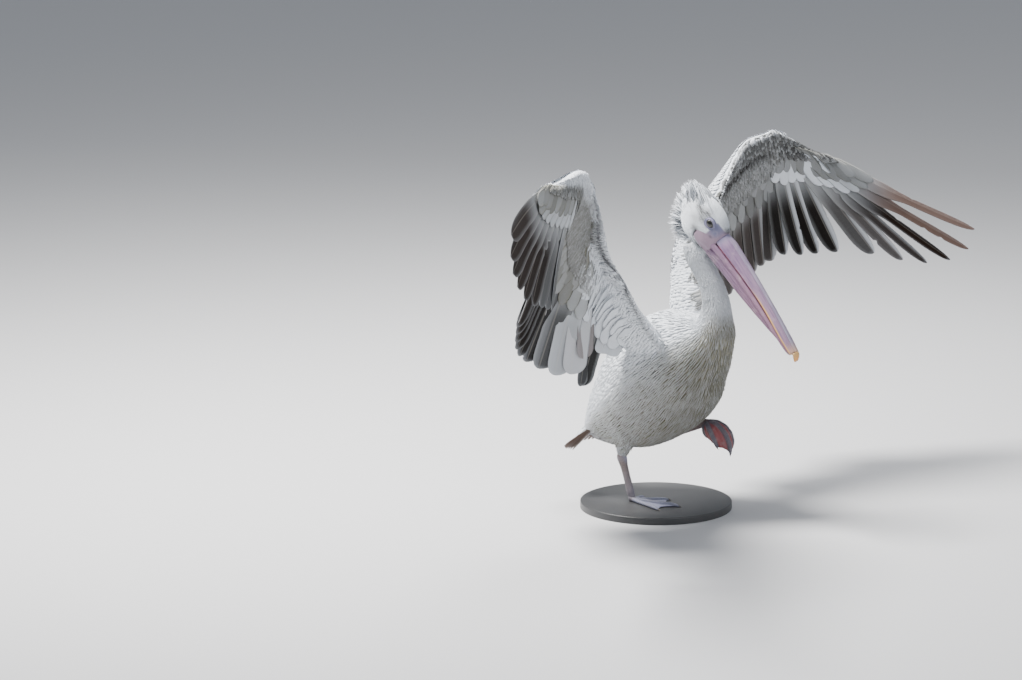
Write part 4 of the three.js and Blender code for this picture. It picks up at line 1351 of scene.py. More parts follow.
def bodyMarks(t, angle, chance):
    down = -np.sin(angle)  # 1 under the body, -1 on the back
    breast = ease(down, -0.55, 0.15) * ease(t, 0.0, 0.12) * (1 - ease(t, 0.70, 0.80))
    # grey and olive grow heavier on the underside and lower breast: partly the belly's own tan-grey and
    # partly painted shade, as the underside is turned from the light
    olive = breast * (0.92 + 0.50 * bump(t, 0.58, 0.14) * ease(down, 0.0, 0.8))
    under = ease(down, 0.1, 0.9) * ease(t, 0.1, 0.2) * (1 - ease(t, 0.66, 0.74))
    grey = breast * (0.17 + 0.20 * chance) + 0.32 * under
    mantle = bump(t, 0.50, 0.16) * ease(-down, 0.35, 0.8)
    speckle = (chance < 0.36) * mantle
    vent = bump(t, 0.075, 0.05) * ease(down, 0.1, 0.8)
    brown = 0.16 * vent + 0.55 * vent * (chance > 0.72)
    neck = ease(t, 0.72, 0.80)
    grey = grey + neck * (0.10 + 0.22 * (chance > 0.7)) * ease(-down, -0.9, 0.2)
    return brown, held(grey), held(olive + 0.10 * neck), speckle


def coatBody():
    for name, look in bodyCoat.items():
        t, angle = rowsOnTube(body["line"], look["from"], look["to"], look["row"], look["column"])
        low, high = look["angles"]
        seam = np.sin(angle) + rng.uniform(-0.08, 0.08, len(t))
        chosen = (seam > low) & (seam <= high)
        t, angle = t[chosen], angle[chosen]
        roots = tubePoint(t, angle, body["line"], along(t, body["coatDepth"]))
        forward = tubeFrame(t, body["line"])[3]
        length = along(t, look["length"]) * rng.uniform(0.85, 1.15, len(t))
        half = along(t, look["half"]) * rng.uniform(0.88, 1.12, len(t))

        def rule(kept, chance):
            brown, grey, olive, speckle = bodyMarks(t[kept], angle[kept], chance)
            marks = stacked(brown, grey, olive, 0)
            marks = np.repeat(marks[:, None], coatMake["stations"], 1)
            for station, shade in ((3, 0.60), (4, 0.45)):  # dark flecks near the tips
                marks[:, station, 0] = np.maximum(marks[:, station, 0], shade * speckle)
            return marks

        bakeAt = bakePlaces(angle / fullTurn, (t - look["from"]) / (look["to"] - look["from"]))
        depth = along(t, body["coatDepth"]) * look["lift"]
        form = (look["round"], look["camber"], 15.0)
        layCoat(name + "Coat", roots, -forward, length, half, rule, bakeAt, depth, *form)


# where the head is marked: how strongly, then the middle and the reach along a and along b
headLook = {
    "smudge": [(1, 13, 10, 36, 9), (1, -4, 9, 37, 7), (0.6, 22, 8, 24, 7), (0.8, 22, 8, 48, 6)],
    "patch": [(1, 25, 11, -6, 10), (0.5, 8, 12, 12, 10)],
    "lore": [(1, 80, 8, 48, 5)],
    "throat": [(0.5, 52, 22, -44, 8)],
    "corners": [(0.6, 80, 5, 45, 4), (0.5, 62, 5, 13, 3)],
}


def headSpots(kind, a, b):
    spots = 0
    for share, atA, wideA, atB, wideB in headLook[kind]:
        spots = spots + share * bump(a, atA, wideA) * bump(b, atB, wideB)
    return spots


def headMarks(a, b, chance):
    smudge = held(headSpots("smudge", a, b))
    flecks = (chance > 0.84) * bump(a, -46, 14) * ease(np.abs(b), -40, 10)
    brown = 0.75 * smudge * (0.15 + 0.85 * (chance > 0.4)) + 0.75 * flecks + 0.8 * headSpots("lore", a, b)
    grey = 0.8 * headSpots("patch", a, b) + 0.5 * smudge + 0.05 + headSpots("throat", a, b)
    return np.clip(brown, 0, 0.95), held(grey), 0.04


def coatHead():
    rows = np.arange(*faceLook["rows"], faceLook["row"])
    starts, angles = [], []
    for k, a in enumerate(rows):
        high, low, halfWidth = along(np.array(float(a)), head["sections"])
        angles.append(ringAngles(halfWidth, (high - low) / 2, faceLook["column"], k, 0.3))
        starts.append(a + rng.uniform(-1, 1, len(angles[-1])))
    a, angle = np.concatenate(starts), np.concatenate(angles)
    roots = headPoint(a, angle, head["coatDepth"])
    aAt, b, _ = headPlace(roots).T
    feathered = bareShare(aAt, b) + crescentShare(aAt, b) < faceLook["shown"]
    a, angle, roots, aAt, b = [v[feathered] for v in (a, angle, roots, aAt, b)]
    ahead, up, _ = headAxes()
    ways = -ahead + up * (0.10 - 0.35 * (b < -20))[:, None]
    face = ease(aAt, -20, 60)
    length = (12.5 - 6.5 * face) * rng.uniform(0.85, 1.2, len(a))
    half = (1.9 - 0.75 * face) * rng.uniform(0.9, 1.1, len(a))

    def rule(kept, chance):
        return stacked(*headMarks(aAt[kept], b[kept], chance), 0)

    bakeAt = bakePlaces(angle / fullTurn, (a - head["skin"][0]) / 150)
    behind = ease(-aAt, 22, 52)
    length, half = length * (1 + 0.9 * behind), half * (1 + 0.35 * behind)
    depth = head["coatDepth"] * 0.62
    layCoat("headCoat", roots, ways, length, half, rule, bakeAt, depth, 1.8, 0.35, 6.0, 3.5 * behind)


def coatShanks():
    for side in wings:
        leg = legs[side]
        t, angle = rowsOnTube(leg["shank"], *legs["rows"], *legs["spacing"])
        roots = tubePoint(t, angle, leg["shank"], legs["coatDepth"])
        forward = tubeFrame(t, leg["shank"])[3]
        length = np.interp(t, [0, 1], [24, 11]) * rng.uniform(0.85, 1.15, len(t))
        half = np.interp(t, [0, 1], [4.2, 2.2])

        def rule(kept, chance):
            return stacked(0.10 * (chance > 0.6), 0.15, 0.35, 0)

        bakeAt, depth = bakePlaces(angle / fullTurn, t), legs["coatDepth"] * 0.8
        layCoat("shankCoat_" + side, roots, forward, length, half, rule, bakeAt, depth, 1.7, 0.35, 8.0)


def coatTailBase():
    rows, columns = np.linspace(0.0, 0.94, 13), np.linspace(0, fullTurn, 30)[:-1]
    t, angle = [v.ravel() for v in np.meshgrid(rows, columns, indexing="ij")]
    t = np.clip(t + rng.uniform(-0.03, 0.03, len(t)), 0, 0.95)
    angle = angle + rng.uniform(-0.1, 0.1, len(t))
    roots = cushionPoint(t, angle, tail["coatDepth"])
    ways = np.broadcast_to(tailWay, roots.shape)
    length = rng.uniform(34, 50, len(t)) * np.where(np.sin(angle) > 0, 1.3, 1)

    def rule(kept, chance):
        under = np.sin(angle[kept]) > 0  # the tail's own up is the floor's down
        brown = 0.22 * under + 0.35 * under * (chance > 0.7)
        return stacked(brown, 0.1 + 0.15 * under, 0.9 * under, 0)

    bakeAt = bakePlaces(angle % fullTurn / fullTurn, t)
    layCoat("tailCoverts", roots, ways, length, 6.5, rule, bakeAt, tail["coatDepth"], 2.2, 0.2, 10.0)


# Where the rows leave bare skin between them, more feathers lie the way that their neighbours do.
gapLook = {
    "buried": 1.1,  # a root this far under the skin doesn't cover it
    # how far from the nearest root a place is bare, on the body, on the wings and on the head and neck
    "limit": {"gapCoat": 8.5, "wingGapCoat": 8.2, "fineGapCoat": 4.4},
    "wingFrom": 120,
    "fineAbove": 560,
    "fineWithin": 130,
    # against that limit
    "spacing": 0.72,
    "length": 3.2,
    "half": 0.62,
    "depth": 0.22,
    "round": 2.0,
    "camber": 0.2,
}


def coatTree():
    # the roots laid so far, for finding those near a place, and their markings
    roots = np.concatenate(coatRoots)
    tree = KDTree(len(roots))
    for k, root in enumerate(roots):
        tree.insert(root, k)
    tree.balance()
    return tree, roots, np.concatenate(coatMarks)


def fillGaps():
    tree, roots, marks = coatTree()
    ways = np.concatenate(coatWays)
    places = toBird(skinSurface.places)
    middle = onHead(0.0, 0.0, 0.0)
    fromHead = np.linalg.norm(places - middle, axis=1)
    onHeadOrNeck = (places[:, 2] > gapLook["fineAbove"]) & (fromHead < gapLook["fineWithin"])
    onWing = np.abs(places[:, 1]) > gapLook["wingFrom"]
    onBody, wing, fine = gapLook["limit"].values()
    limit = np.where(onHeadOrNeck, fine, np.where(onWing, wing, onBody))
    near = np.array([tree.find(p)[1] for p in places])
    at, by = np.array([(k, hit[1]) for k, p in enumerate(places) for hit in tree.find_range(p, limit[k])]).T
    height = ((roots[by] - places[at]) * skinSurface.normals[at]).sum(1)
    covered = np.zeros(len(places), bool)
    # feathers under the skin or on the wing's other face cover nothing
    covered[at[height > -gapLook["buried"]]] = True
    bare = np.flatnonzero(~covered)
    bare = bare[rng.permutation(len(bare))]
    cell = np.floor(places[bare] / (limit[bare] * gapLook["spacing"])[:, None]).astype(int)
    bare = bare[np.unique(np.column_stack([cell, limit[bare]]), axis=0, return_index=True)[1]]
    print("filling", len(bare), "gaps in the coat")
    for name, wide in gapLook["limit"].items():
        spots = bare[limit[bare] == wide]
        nearest = near[spots]

        def rule(kept, chance):
            return marks[nearest[kept]]

        bakeAt = bakePlaces(*rng.random((len(spots), 2)).T)
        length = np.full(len(spots), wide * gapLook["length"])
        half, depth = wide * gapLook["half"], wide * gapLook["depth"]
        form = (gapLook["round"], gapLook["camber"])
        layCoat(name, places[spots], ways[nearest], length, half, rule, bakeAt, depth, *form)


coatBody()
coatHead()
coatShanks()
coatTailBase()
fillGaps()
print("coat on body, neck, head and shanks")


# The skin between the feathers carries their markings, and the bare face its own.
def markSkin():
    places = toBird(skinSurface.places)
    tree, _, marks = coatTree()
    shares = marks[[tree.find(p)[1] for p in places]].astype(float)
    a, b, side = headPlace(places).T
    face = canBeBare(a, b, side)
    crescent = crescentShare(a, b) * face
    shares[:, 3] = bareShare(a, b) * face
    pink = held(ease(b, 30, 4) + ease(a, 62, 88))
    # the crescent fold and the corners at the bill's base are darkened: painted shade in the crease and
    # corners
    dark = held(0.95 * crescent + headSpots("corners", a, b) * face)
    addLayer(skin.data, "marks", shares)
    addLayer(skin.data, "vane", stacked(pink, dark, 0, 0))


markSkin()
finishPiece(skin, skinFinish(), "plumage", "trunk", "neck_lower", "neck_middle", "neck_upper", "head",
            "upper_arm_right", "forearm_right", "hand_right", "upper_arm_left", "forearm_left", "hand_left",
            "shank_right", "shank_left")


# Tail: a fan of short stiff feathers.
tailLook = {
    "stations": 18,
    "places": (-1, -0.85, -0.4, -0.07, 0.07, 0.4, 0.85, 1),
    "half": (15, 13),  # at the sides of the fan and in its middle
    "thick": (1.6, 0.7),
    "layer": 0.5,
    "cup": 26,
    "droop": 3,
    "length": 0.93,
    "shorter": 0.30,
    "tilt": 0.10,
    "rib": 0.4,
}


def tailFan():
    count, look = tail["feathers"], tailLook
    share = (np.arange(count) + 0.5) / count * 2 - 1
    turn = share * tail["halfFan"]
    across = np.array([0.0, 1.0, 0.0])
    way = tailWay * np.cos(turn)[:, None] + across * np.sin(turn)[:, None]
    length = tail["length"] * look["length"] * (1 - look["shorter"] * np.abs(share) ** 1.5)
    length = length * (1 - rng.uniform(0, 0.03, count))
    s = stationShares(look["stations"])
    root = np.array(tail["root"]) + across * (share * tail["halfRoot"])[:, None]
    layer = (1 - np.abs(share)) * look["layer"] * count / 4
    centre = root[:, None] + way[:, None] * (length[:, None] * s)[..., None]
    sag = look["droop"] * s**2 + look["cup"] * (share**2)[:, None] * s
    centre = centre - tailUp * (layer[:, None] - sag)[..., None]
    side = unit(np.cross(way, tailUp))
    side = unit(side - tailUp * (look["tilt"] * np.sign(share))[:, None] * np.sign(side[:, 1:2]))
    form = (0.35 + 0.65 * ease(s, 0, 0.3)) * roundEnd(s, 0.8, 2.2, 0.02)
    width = np.outer(blend(look["half"], 1 - np.abs(share)), form)
    chance = rng.random(count)
    x = ringPlaces(look["places"])[0]
    far = s[None, :, None]
    each = chance[:, None, None]
    dark = 0.10 + 0.34 * ease(far, 0.4, 0.9) * (0.4 + 0.6 * each) * (1 - 0.7 * ease(np.abs(x), 0.7, 0.95))
    marks = stacked(dark, 0.3, 0.4, 0.42 + 0.25 * each)
    thick = np.broadcast_to(blend(look["thick"], s), width.shape)
    made = buildVanes(
        "tailVanes", centre, side[:, None], unit(np.cross(side, way))[:, None], width, width, look["places"],
        thick, 0.08 * width, marks, chance, 1.0, stripOfEach(count, x, far), look["rib"],
    )
    finishPiece(made, quills, "tail_feather", "tail")


# Crest: a ragged fringe of narrow feathers behind the crown and down the nape.
crest = {
    # tip and root as places on the head: a, b, a, b
    "line": [
        (-1.6, (-60, 60, -6, 58)), (-0.8, (-80, 52, -34, 46)), (0, (-93, 43, -52, 24)),
        (1, (-97, 12, -56, 8)), (2, (-93, -15, -55, -8)), (3, (-85, -42, -48, -20)),
        (4, (-72, -66, -42, -34)), (5, (-58, -84, -30, -44)), (6, (-36, -98, -14, -52)),
        (7, (-14, -108, 2, -56)),
    ],
    # [how many, from and to along that line]
    "crown": (360, -1.6, 1.0),
    "nape": (540, 0, 7),
    "spread": 27,
    "half": (3.2, 5.6),
    "thick": 0.6,
    "stations": 8,
}


def crestFeathers():
    v = np.concatenate([rng.uniform(low, high, some) for some, low, high in (crest["crown"], crest["nape"])])
    count = len(v)
    tipA, tipB, rootA, rootB = along(v, crest["line"]).T
    sideways = np.clip(rng.normal(0, 0.5, count), -1, 1) * crest["spread"]
    short = rng.uniform(0.66, 1.0, count) * (1 - 0.25 * (np.abs(sideways) / crest["spread"]) ** 2)
    rootA = rootA + rng.uniform(-2, 38, count)
    rootB = rootB * (1 - 0.12 * rng.random(count)) + rng.uniform(-3, 3, count)
    tipA = rootA + (tipA - rootA) * short + rng.uniform(-3, 3, count)
    tipB = rootB + (tipB - rootB) * short + rng.uniform(-4, 4, count)
    s = np.linspace(0, 1, crest["stations"])[:, None]
    root = onHead(rootA, rootB, sideways * 0.9)[:, None]
    tip = onHead(tipA, tipB, sideways * (0.45 + 0.35 * ease(v, 0.5, 3)))[:, None]
    bend = onHead((rootA + tipA) / 2 - 2, (rootB + tipB) / 2 + 5, sideways * 1.1)[:, None]
    centre = root * (1 - s) ** 2 + bend * 2 * s * (1 - s) + tip * s**2
    s = s[:, 0]
    run = unit(np.gradient(centre, axis=1))
    roll = rng.normal(0, 0.5, count)[:, None, None]
    up = unit(np.cross(run, headAxes()[2]))
    side = unit(np.cross(up, run) + up * roll)
    up = unit(np.cross(run, side))
    half = rng.uniform(*crest["half"], count) * (0.5 + 0.5 * ease(-rootA, -16, 34))
    width = half[:, None] * (0.5 + 0.5 * ease(s, 0, 0.35)) * np.clip(1 - s**1.5, 0.04, 1)
    chance = rng.random(count)
    marks = stacked(0.5 * (chance > 0.9), 0.05 + 0.15 * (chance < 0.2), 0.03, 0)
    bakeAt = stacked(0.02 + 0.94 * (sideways / crest["spread"] / 2 + 0.5), 0.02 + 0.94 * v / 7)
    thick = np.full(width.shape, crest["thick"]) * (1 - 0.5 * s)
    made = buildVanes(
        "crestFeathers", centre, side, up, width, width, coatMake["places"], thick, 0.3 * width, marks,
        chance, 0.0, bakeAt,
    )
    finishPiece(made, plumage, "plumage", "crest")


tailFan()
crestFeathers()
print("tail and crest")


# Bill.
bill = {
    "length": 356,
    "base": (85, 47),
    "droop": math.radians(6),
    "rise": 6,
    "root": -24,
    # [share of the length, [half width, thickness of the roof, tomium's drop]]
    "upper": [
        (0, (24, 26, 35)), (0.12, (22.5, 21, 30)), (0.25, (20, 17, 26.5)), (0.4, (17.5, 14, 22.5)),
        (0.58, (16, 11.5, 18.5)), (0.84, (17, 10, 15)), (0.95, (14, 9, 13)), (1, (9, 8, 12)),
    ],
    "palate": 4,
    "shoulder": 0.25,
    "groove": {"at": 0.40, "width": 0.055, "depth": 1.3},
    "nailFrom": 0.95,
    "nail": {"hook": 12, "middle": 6.5, "keel": 0.10},
    "nailSections": [(0, (12, 6)), (0.4, (10.5, 7)), (0.8, (6.5, 6)), (1, (2.5, 2.5))],
    # [share, [half spread, half width, half depth]]
    "ramus": [
        (0, (19.5, 5, 9)), (0.3, (15, 4.5, 7.5)), (0.7, (11.5, 4, 5.5)), (0.9, (6, 4, 4.5)),
        (0.96, (3, 3, 3)),
    ],
    "ramusTo": 0.945,
    # [share, [half width, depth of the lowest fold]]
    "pouch": [
        (0, (21, 92)), (0.22, (18, 81)), (0.38, (15, 74)), (0.53, (12, 63)), (0.67, (9.5, 50)),
        (0.81, (7, 35.5)), (0.9, (4, 28)),
    ],
    "pouchRoof": 7,
    "pouchTo": 0.9,
    "pouchTaper": 0.3,
    "folds": 1.1,
    "hollow": 1.8,
}


def onBill(length, drop, side=0.0):
    share = held(length / bill["length"])
    below = drop - bill["rise"] * np.sin(math.pi * share)
    c, s = math.cos(bill["droop"]), math.sin(bill["droop"])
    return onHead(bill["base"][0] + length * c - below * s, bill["base"][1] - length * s - below * c, side)


def lowerLine(share):
    return along(np.maximum(share, 0), bill["upper"])[..., 2] + bill["palate"] + 0.8


def billShare(s, end):
    # lengths along the bill from its root to that share of it, and the shares there
    length = blend((bill["root"], bill["length"] * end), s)
    return length, np.maximum(0, length / bill["length"])


def upperPlace(s, angle):
    length, share = billShare(s, bill["nailFrom"])
    halfWidth, roof, drop = np.moveaxis(along(share, bill["upper"]), -1, 0)
    tucked = 1 - ease(length, -10, 30)
    halfWidth = halfWidth * (1 - 0.24 * tucked)
    c, h = np.cos(angle), np.sin(angle)
    height = np.where(h > 0, np.abs(h) ** 0.86 * drop * (1 - 0.16 * tucked), h * bill["palate"])
    lateral = c * halfWidth * np.where(h > 0, 1 - bill["shoulder"] * h * (1 - roof / drop), 1)
    across = np.abs(lateral) / halfWidth
    groove = bump(across, bill["groove"]["at"] * (1 - 0.25 * share), bill["groove"]["width"])
    groove = groove * (h > 0.15) * ease(length, 2, 30)
    fine = 0.22 * np.sin(across * 46 + 3 * np.sin(share * 9)) * ease(across, 0.45, 0.6) * (h > 0.05)
    height = height - bill["groove"]["depth"] * groove - fine
    height = height + 0.9 * bump(across, 0, 0.13) * (h > 0) * (1 - ease(share, 0.75, 0.9))
    lateral = lateral + np.sign(c) * 0.7 * bump(h, 0.04, 0.10)
    return onBill(length, drop - height, lateral), (across, share, held(h), 0.0)


def nailPlace(s, angle):
    length = bill["length"] * (bill["nailFrom"] + (1 - bill["nailFrom"]) * np.minimum(1, 1.2 * s)) + 0.8
    middle = bill["nail"]["middle"] + bill["nail"]["hook"] * s**1.6
    halfWidth, halfDepth = np.moveaxis(along(s, bill["nailSections"]), -1, 0)
    close = roundEnd(s, 0.86, 2, 0.02) * (1 - 0.25 * bump(s, 0, 0.06))
    keel = 1 + bill["nail"]["keel"] * bump(np.abs(angle - math.pi / 2), 0, 0.35)
    down = middle - np.sin(angle) * close * halfDepth * keel
    return onBill(length, down, np.cos(angle) * close * halfWidth), (0.5 + 0.5 * np.sin(angle), s, 0.0, 0.0)


def ramusPlace(side):
    def place(s, angle):
        length, share = billShare(s, bill["ramusTo"])
        spread, halfWidth, halfDepth = np.moveaxis(along(share, bill["ramus"]), -1, 0)
        ripple = 1 + 0.035 * np.sin(angle * 9 + 2 * np.sin(share * 7))
        close = roundEnd(s, 0.97, 2, 0.05)
        down = lowerLine(share) + halfDepth - np.sin(angle) * halfDepth * close * ripple
        out = side * spread + np.cos(angle) * halfWidth * close * ripple
        top, outer = 0.5 + 0.5 * np.sin(angle), 0.5 + 0.5 * side * np.cos(angle)
        return onBill(length, down, out), (top, share, outer, 0.0)

    return place


def pouchPlace(s, angle):
    length, share = billShare(s, bill["pouchTo"])
    halfWidth, fold = np.moveaxis(along(share, bill["pouch"]), -1, 0)
    top = lowerLine(share) + bill["pouchRoof"]
    middle, halfDepth = (top + fold) / 2, (fold - top) / 2
    h, c = np.sin(angle), np.cos(angle)
    down = middle - h * halfDepth
    depth = (down - top) / np.maximum(fold - top, 1)
    fade = ease(1 - share, 0.1, 0.35)
    ripple = np.sin(depth * 34 + 2.2 * np.sin(share * 6 + 1) + np.sign(c) * 0.8)
    ripple = ripple + 0.5 * np.sin(depth * 71 + share * 11)
    lateral = c * halfWidth * np.where(h < 0, 1 + bill["pouchTaper"] * h, 1)
    lateral = lateral + c * fade * (bill["folds"] * ripple - bill["hollow"] * bump(depth, 0.45, 0.22))
    return onBill(length, down, lateral), (depth, share, 0.5 + 0.5 * ripple / 1.5, 0.0)


def billFinish():
    made, paint = newFinish("billHorn", **{"Specular IOR Level": 0.45, "Coat Roughness": 0.3})
    across, length, height = paint.layer("marks", 3)
    place = paint.place()
    streaks = streaksOn(paint, across * 26.0, length * 7.0, 4.0)
    cloud = noiseOn(paint, place, 60.0)
    fine = noiseOn(paint, place, 900.0, 2.0)
    middle = 1 - across.between(0.28, 0.50)
    edge = 1 - height.between(0.08, 0.26)
    gape = 1 - height.between(0.01, 0.09)
    colour = paint.over(
        paint.mix(length.between(0.0, 0.5), (0.225, 0.145, 0.245), (0.34, 0.222, 0.32)),
        (middle * (0.35 + 0.5 * length), (0.42, 0.42, 0.51)),
        (streaks.between(0.40, 0.66) * 0.7, (0.16, 0.095, 0.20)),
        (cloud.between(0.55, 0.8) * 0.3, (0.52, 0.42, 0.45)),
        (edge * length.between(0.38, 0.6) * 0.85, (0.78, 0.46, 0.13)),
        (gape * (1 - length.between(0.55, 0.9) * 0.6) * 0.9, (0.16, 0.018, 0.03)),
        (length.between(0.86, 0.97) * 0.7, (0.72, 0.45, 0.25)),
        ((1 - length.between(0.0, 0.055)) * 0.75, (0.185, 0.175, 0.275)),
    )
    return feed(made, paint, colour, 0.34 + 0.22 * streaks, streaks * 0.7 + fine * 0.3)


def nailFinish():
    made, paint = newFinish("nailHorn", **{"Coat Weight": 0.5, "Coat Roughness": 0.12})
    length = paint.layer("marks")[1]
    cloud = noiseOn(paint, paint.place(), 160.0)
    colour = paint.mix(length.between(0.2, 0.9), (0.72, 0.44, 0.16), (0.74, 0.30, 0.05))
    colour = paint.mix(cloud.between(0.45, 0.8) * 0.5, colour, (0.50, 0.20, 0.05))
    return feed(made, paint, colour, 0.25 + 0.2 * cloud, cloud, 0.0004, 0.5)


def pouchFinish(name, first, second, dark):
    made, paint = newFinish(name, **{"Coat Roughness": 0.35, "Specular IOR Level": 0.4})
    depth, length, fold = paint.layer("marks", 3)
    place = paint.place()
    cloud = noiseOn(paint, place, 45.0, 4.0)
    lines = streaksOn(paint, depth * 42.0, length * 5.0, 3.0)
    pores = paint.node("TexVoronoi", None, {"Vector": place, "Scale": 700.0})
    colour = paint.over(
        paint.mix(length.between(0.0, 0.6), first, second),
        (lines.between(0.4, 0.7) * 0.6, dark),
        # darker where the third mark is low, in the troughs of the pouch's folds and on the inner side of
        # each ramus: painted shade
        ((1 - fold) * 0.25, dark),
        (cloud.between(0.5, 0.75) * 0.35, (0.55, 0.45, 0.46)),
    )
    return feed(made, paint, colour, 0.42 + 0.2 * cloud, lines * 0.6 + pores * 0.4)


finishPiece(sweepPiece("upperMandible", 150, 88, upperPlace), billFinish(), "bill", "bill_upper")
finishPiece(sweepPiece("billNail", 40, 40, nailPlace), nailFinish(), "nail", "bill_nail")
jawSkin = pouchFinish("jawSkin", (0.24, 0.145, 0.225), (0.33, 0.185, 0.265), (0.13, 0.065, 0.14))
pouchSkin = pouchFinish("pouchSkin", (0.24, 0.16, 0.24), (0.31, 0.18, 0.26), (0.13, 0.07, 0.145))
for name, sign in (("left", 1), ("right", -1)):
    finishPiece(sweepPiece("mandible_" + name, 130, 28, ramusPlace(sign)), jawSkin, "bill", "bill_lower")
finishPiece(sweepPiece("pouchFolds", 150, 120, pouchPlace), pouchSkin, "pouch", "pouch")
print("bill and pouch")


# Eyes and lids.
eyeLook = {
    "half": (11.3, 9.8, 6.2),  # along a, along b and outwards
    "sink": 1.2,
    "lid": (12.1, 10.5),
    "lidThick": 1.9,
    "lidOut": 2.6,
    "rings": (40, 48),
    "lidRings": (96, 20),
}


def eyePlaces(sign):
    a, b, side = head["eye"]
    axes = headAxes()
    out = unit(axes[2] * sign + axes[0] * 0.12 + axes[1] * 0.22)
    ahead = unit(axes[0] - out * (axes[0] @ out))
    up = unit(np.cross(out, ahead)) * sign
    centre = onHead(a, b, sign * (side - eyeLook["sink"]))
    return centre, out, ahead, up * np.sign(up @ axes[1])


def eyeball(sign):
    centre, out, ahead, up = eyePlaces(sign)

    def place(s, angle):
        polar = s * math.pi * 0.985 + 0.02
        long, high, deep = eyeLook["half"]
        cornea = 1 + 0.10 * bump(polar, 0, 0.5)
        points = (
            centre
            + ahead * (long * np.sin(polar) * np.cos(angle))[..., None]
            + up * (high * np.sin(polar) * np.sin(angle))[..., None]
            + out * (deep * cornea * np.cos(polar))[..., None]
        )
        return points, (s, angle / fullTurn, 0.0, 0.0)

    return place


def lidPlace(sign):
    centre, out, ahead, up = eyePlaces(sign)

    def place(s, angle):
        # s goes round the eye, angle round the lid's own section
        turn = s * fullTurn
        long, high = eyeLook["lid"]
        upper = ease(np.sin(turn), -0.2, 0.8)
        thick = eyeLook["lidThick"] * (1 + 0.35 * upper + 0.12 * np.sin(angle * 5 + turn * 2))
        outX, outY = np.moveaxis(unit(stacked(np.cos(turn) / long, np.sin(turn) / high)), -1, 0)
        size = np.cos(angle) * thick * 1.25
        corner = bump(np.abs(turn - math.pi), math.pi, 0.3)
        x = long * np.cos(turn) * (1 + 0.10 * corner) + outX * size
        y = high * np.sin(turn) * (1 - 0.05 * upper) + outY * size
        rise = eyeLook["lidOut"] - 1.6 * np.abs(np.cos(turn)) + np.sin(angle) * thick + 0.6 * upper
        points = centre + ahead * x[..., None] + up * y[..., None] + out * rise[..., None]
        return points, (0.5 + 0.5 * np.cos(angle), s, upper, 0.0)

    return place


def eyeFinish():
    glass = {"Roughness": 0.12, "Coat Weight": 1.0, "Coat Roughness": 0.02, "IOR": 1.4}
    made, paint = newFinish("eyeball", **glass)
    out, turn = paint.layer("marks", 2)
    rays = streaksOn(paint, turn * 60.0, out * 6.0, 2.0)
    iris = paint.mix(rays, (0.016, 0.016, 0.013), (0.055, 0.052, 0.040))
    colour = paint.mix(out.between(0.17, 0.20), (0.004, 0.004, 0.004), iris)
    return feed(made, paint, paint.mix(out.between(0.33, 0.39), colour, (0.012, 0.010, 0.010)))


def lidFinish():
    made, paint = newFinish("lidSkin", **{"Specular IOR Level": 0.35})
    out = paint.layer("marks")[0]
    place = paint.place()
    cloud = noiseOn(paint, place, 180.0)
    pores = paint.node("TexVoronoi", None, {"Vector": place, "Scale": 900.0})
    colour = paint.mix(cloud.between(0.35, 0.7), (0.20, 0.20, 0.32), (0.32, 0.30, 0.42))
    colour = paint.mix((1 - out) * 0.7, colour, (0.035, 0.03, 0.045))
    return feed(made, paint, colour, 0.4 + 0.2 * cloud, pores * 0.6 + cloud * 0.4, 0.0004)


eyeGloss = eyeFinish()
lidSkin = lidFinish()
for name, sign in (("left", 1), ("right", -1)):
    ball = sweepPiece("eyeball_" + name, *eyeLook["rings"], eyeball(sign))
    lids = sweepPiece("eyelids_" + name, *eyeLook["lidRings"], lidPlace(sign), looped=True)
    finishPiece(ball, eyeGloss, "eye", "eye_" + name)
    finishPiece(lids, lidSkin, "plumage")
print("eyes")


# Legs and webbed feet.
feet = {
    "at": {"right": (0, -55, 0), "left": (148, 62, 192)},
    "pitch": {"right": 0.0, "left": math.radians(-28)},
    "curl": {"right": 0.0, "left": 2.35},
    "yaw": {"right": 0.0, "left": math.radians(-20)},
    "spread": {"right": 1.0, "left": 1.2},
    "mirror": {"right": 1, "left": -1},
    # length, angle in degrees and radius, from the hind toe round to the outer one
    "toes": [(54, 82, 4.6), (98, 34, 5.2), (138, 2, 5.6), (122, -27, 5.2)],
    "joints": [(0.36,), (0.40, 0.70), (0.34, 0.58, 0.78), (0.30, 0.50, 0.66, 0.82)],
    "profile": [(0, 1.5), (0.2, 1), (0.8, 0.9), (0.92, 0.75), (1, 0.4)],
    "web": {
        "thick": 1.7,
        "start": 0.1,
        "edge": {"right": 0.95, "left": 0.98},
        "scoop": {"right": 0.12, "left": 0.06},
        "lift": 1.0,
        "grid": (26, 44),
    },
    "voxel": 1.05,
    "smoothing": 2,
    # rings and points on each
    "toeRings": (90, 24),
    "tarsusRings": (150, 28),
    "clawRings": (16, 16),
    # how far from a bone's line its horny skin runs out
    "toeReach": (5.0, 8.5),
    "legReach": (9, 15),
    "tarsusFuller": 2.2,
    "clawLength": 11,
    "clawRadius": 2.5,
}


def footPlace(side, local):
    pitch, yaw = feet["pitch"][side], feet["yaw"][side]
    c, s = math.cos(pitch), math.sin(pitch)
    x, y, z = np.moveaxis(np.asarray(local, float), -1, 0)
    x, y = x * math.cos(yaw) - y * math.sin(yaw), x * math.sin(yaw) + y * math.cos(yaw)
    return stacked(x * c + z * s, y, -x * s + z * c) + np.array(feet["at"][side], float)


def toeLine(side, toe, t):
    length, angle, radius = toe
    curl = feet["curl"][side]
    t = np.asarray(t, float)
    if curl:
        ahead, fall = length / curl * np.sin(curl * t), length / curl * (1 - np.cos(curl * t))
        height = radius
    else:
        ahead, fall = length * t, 0
        height = radius * 0.85 * along(t, feet["profile"])
    turn = math.radians(angle) * feet["mirror"][side] * feet["spread"][side]
    reach = ahead - radius
    return stacked(math.cos(turn) * reach, math.sin(turn) * reach, height - fall)


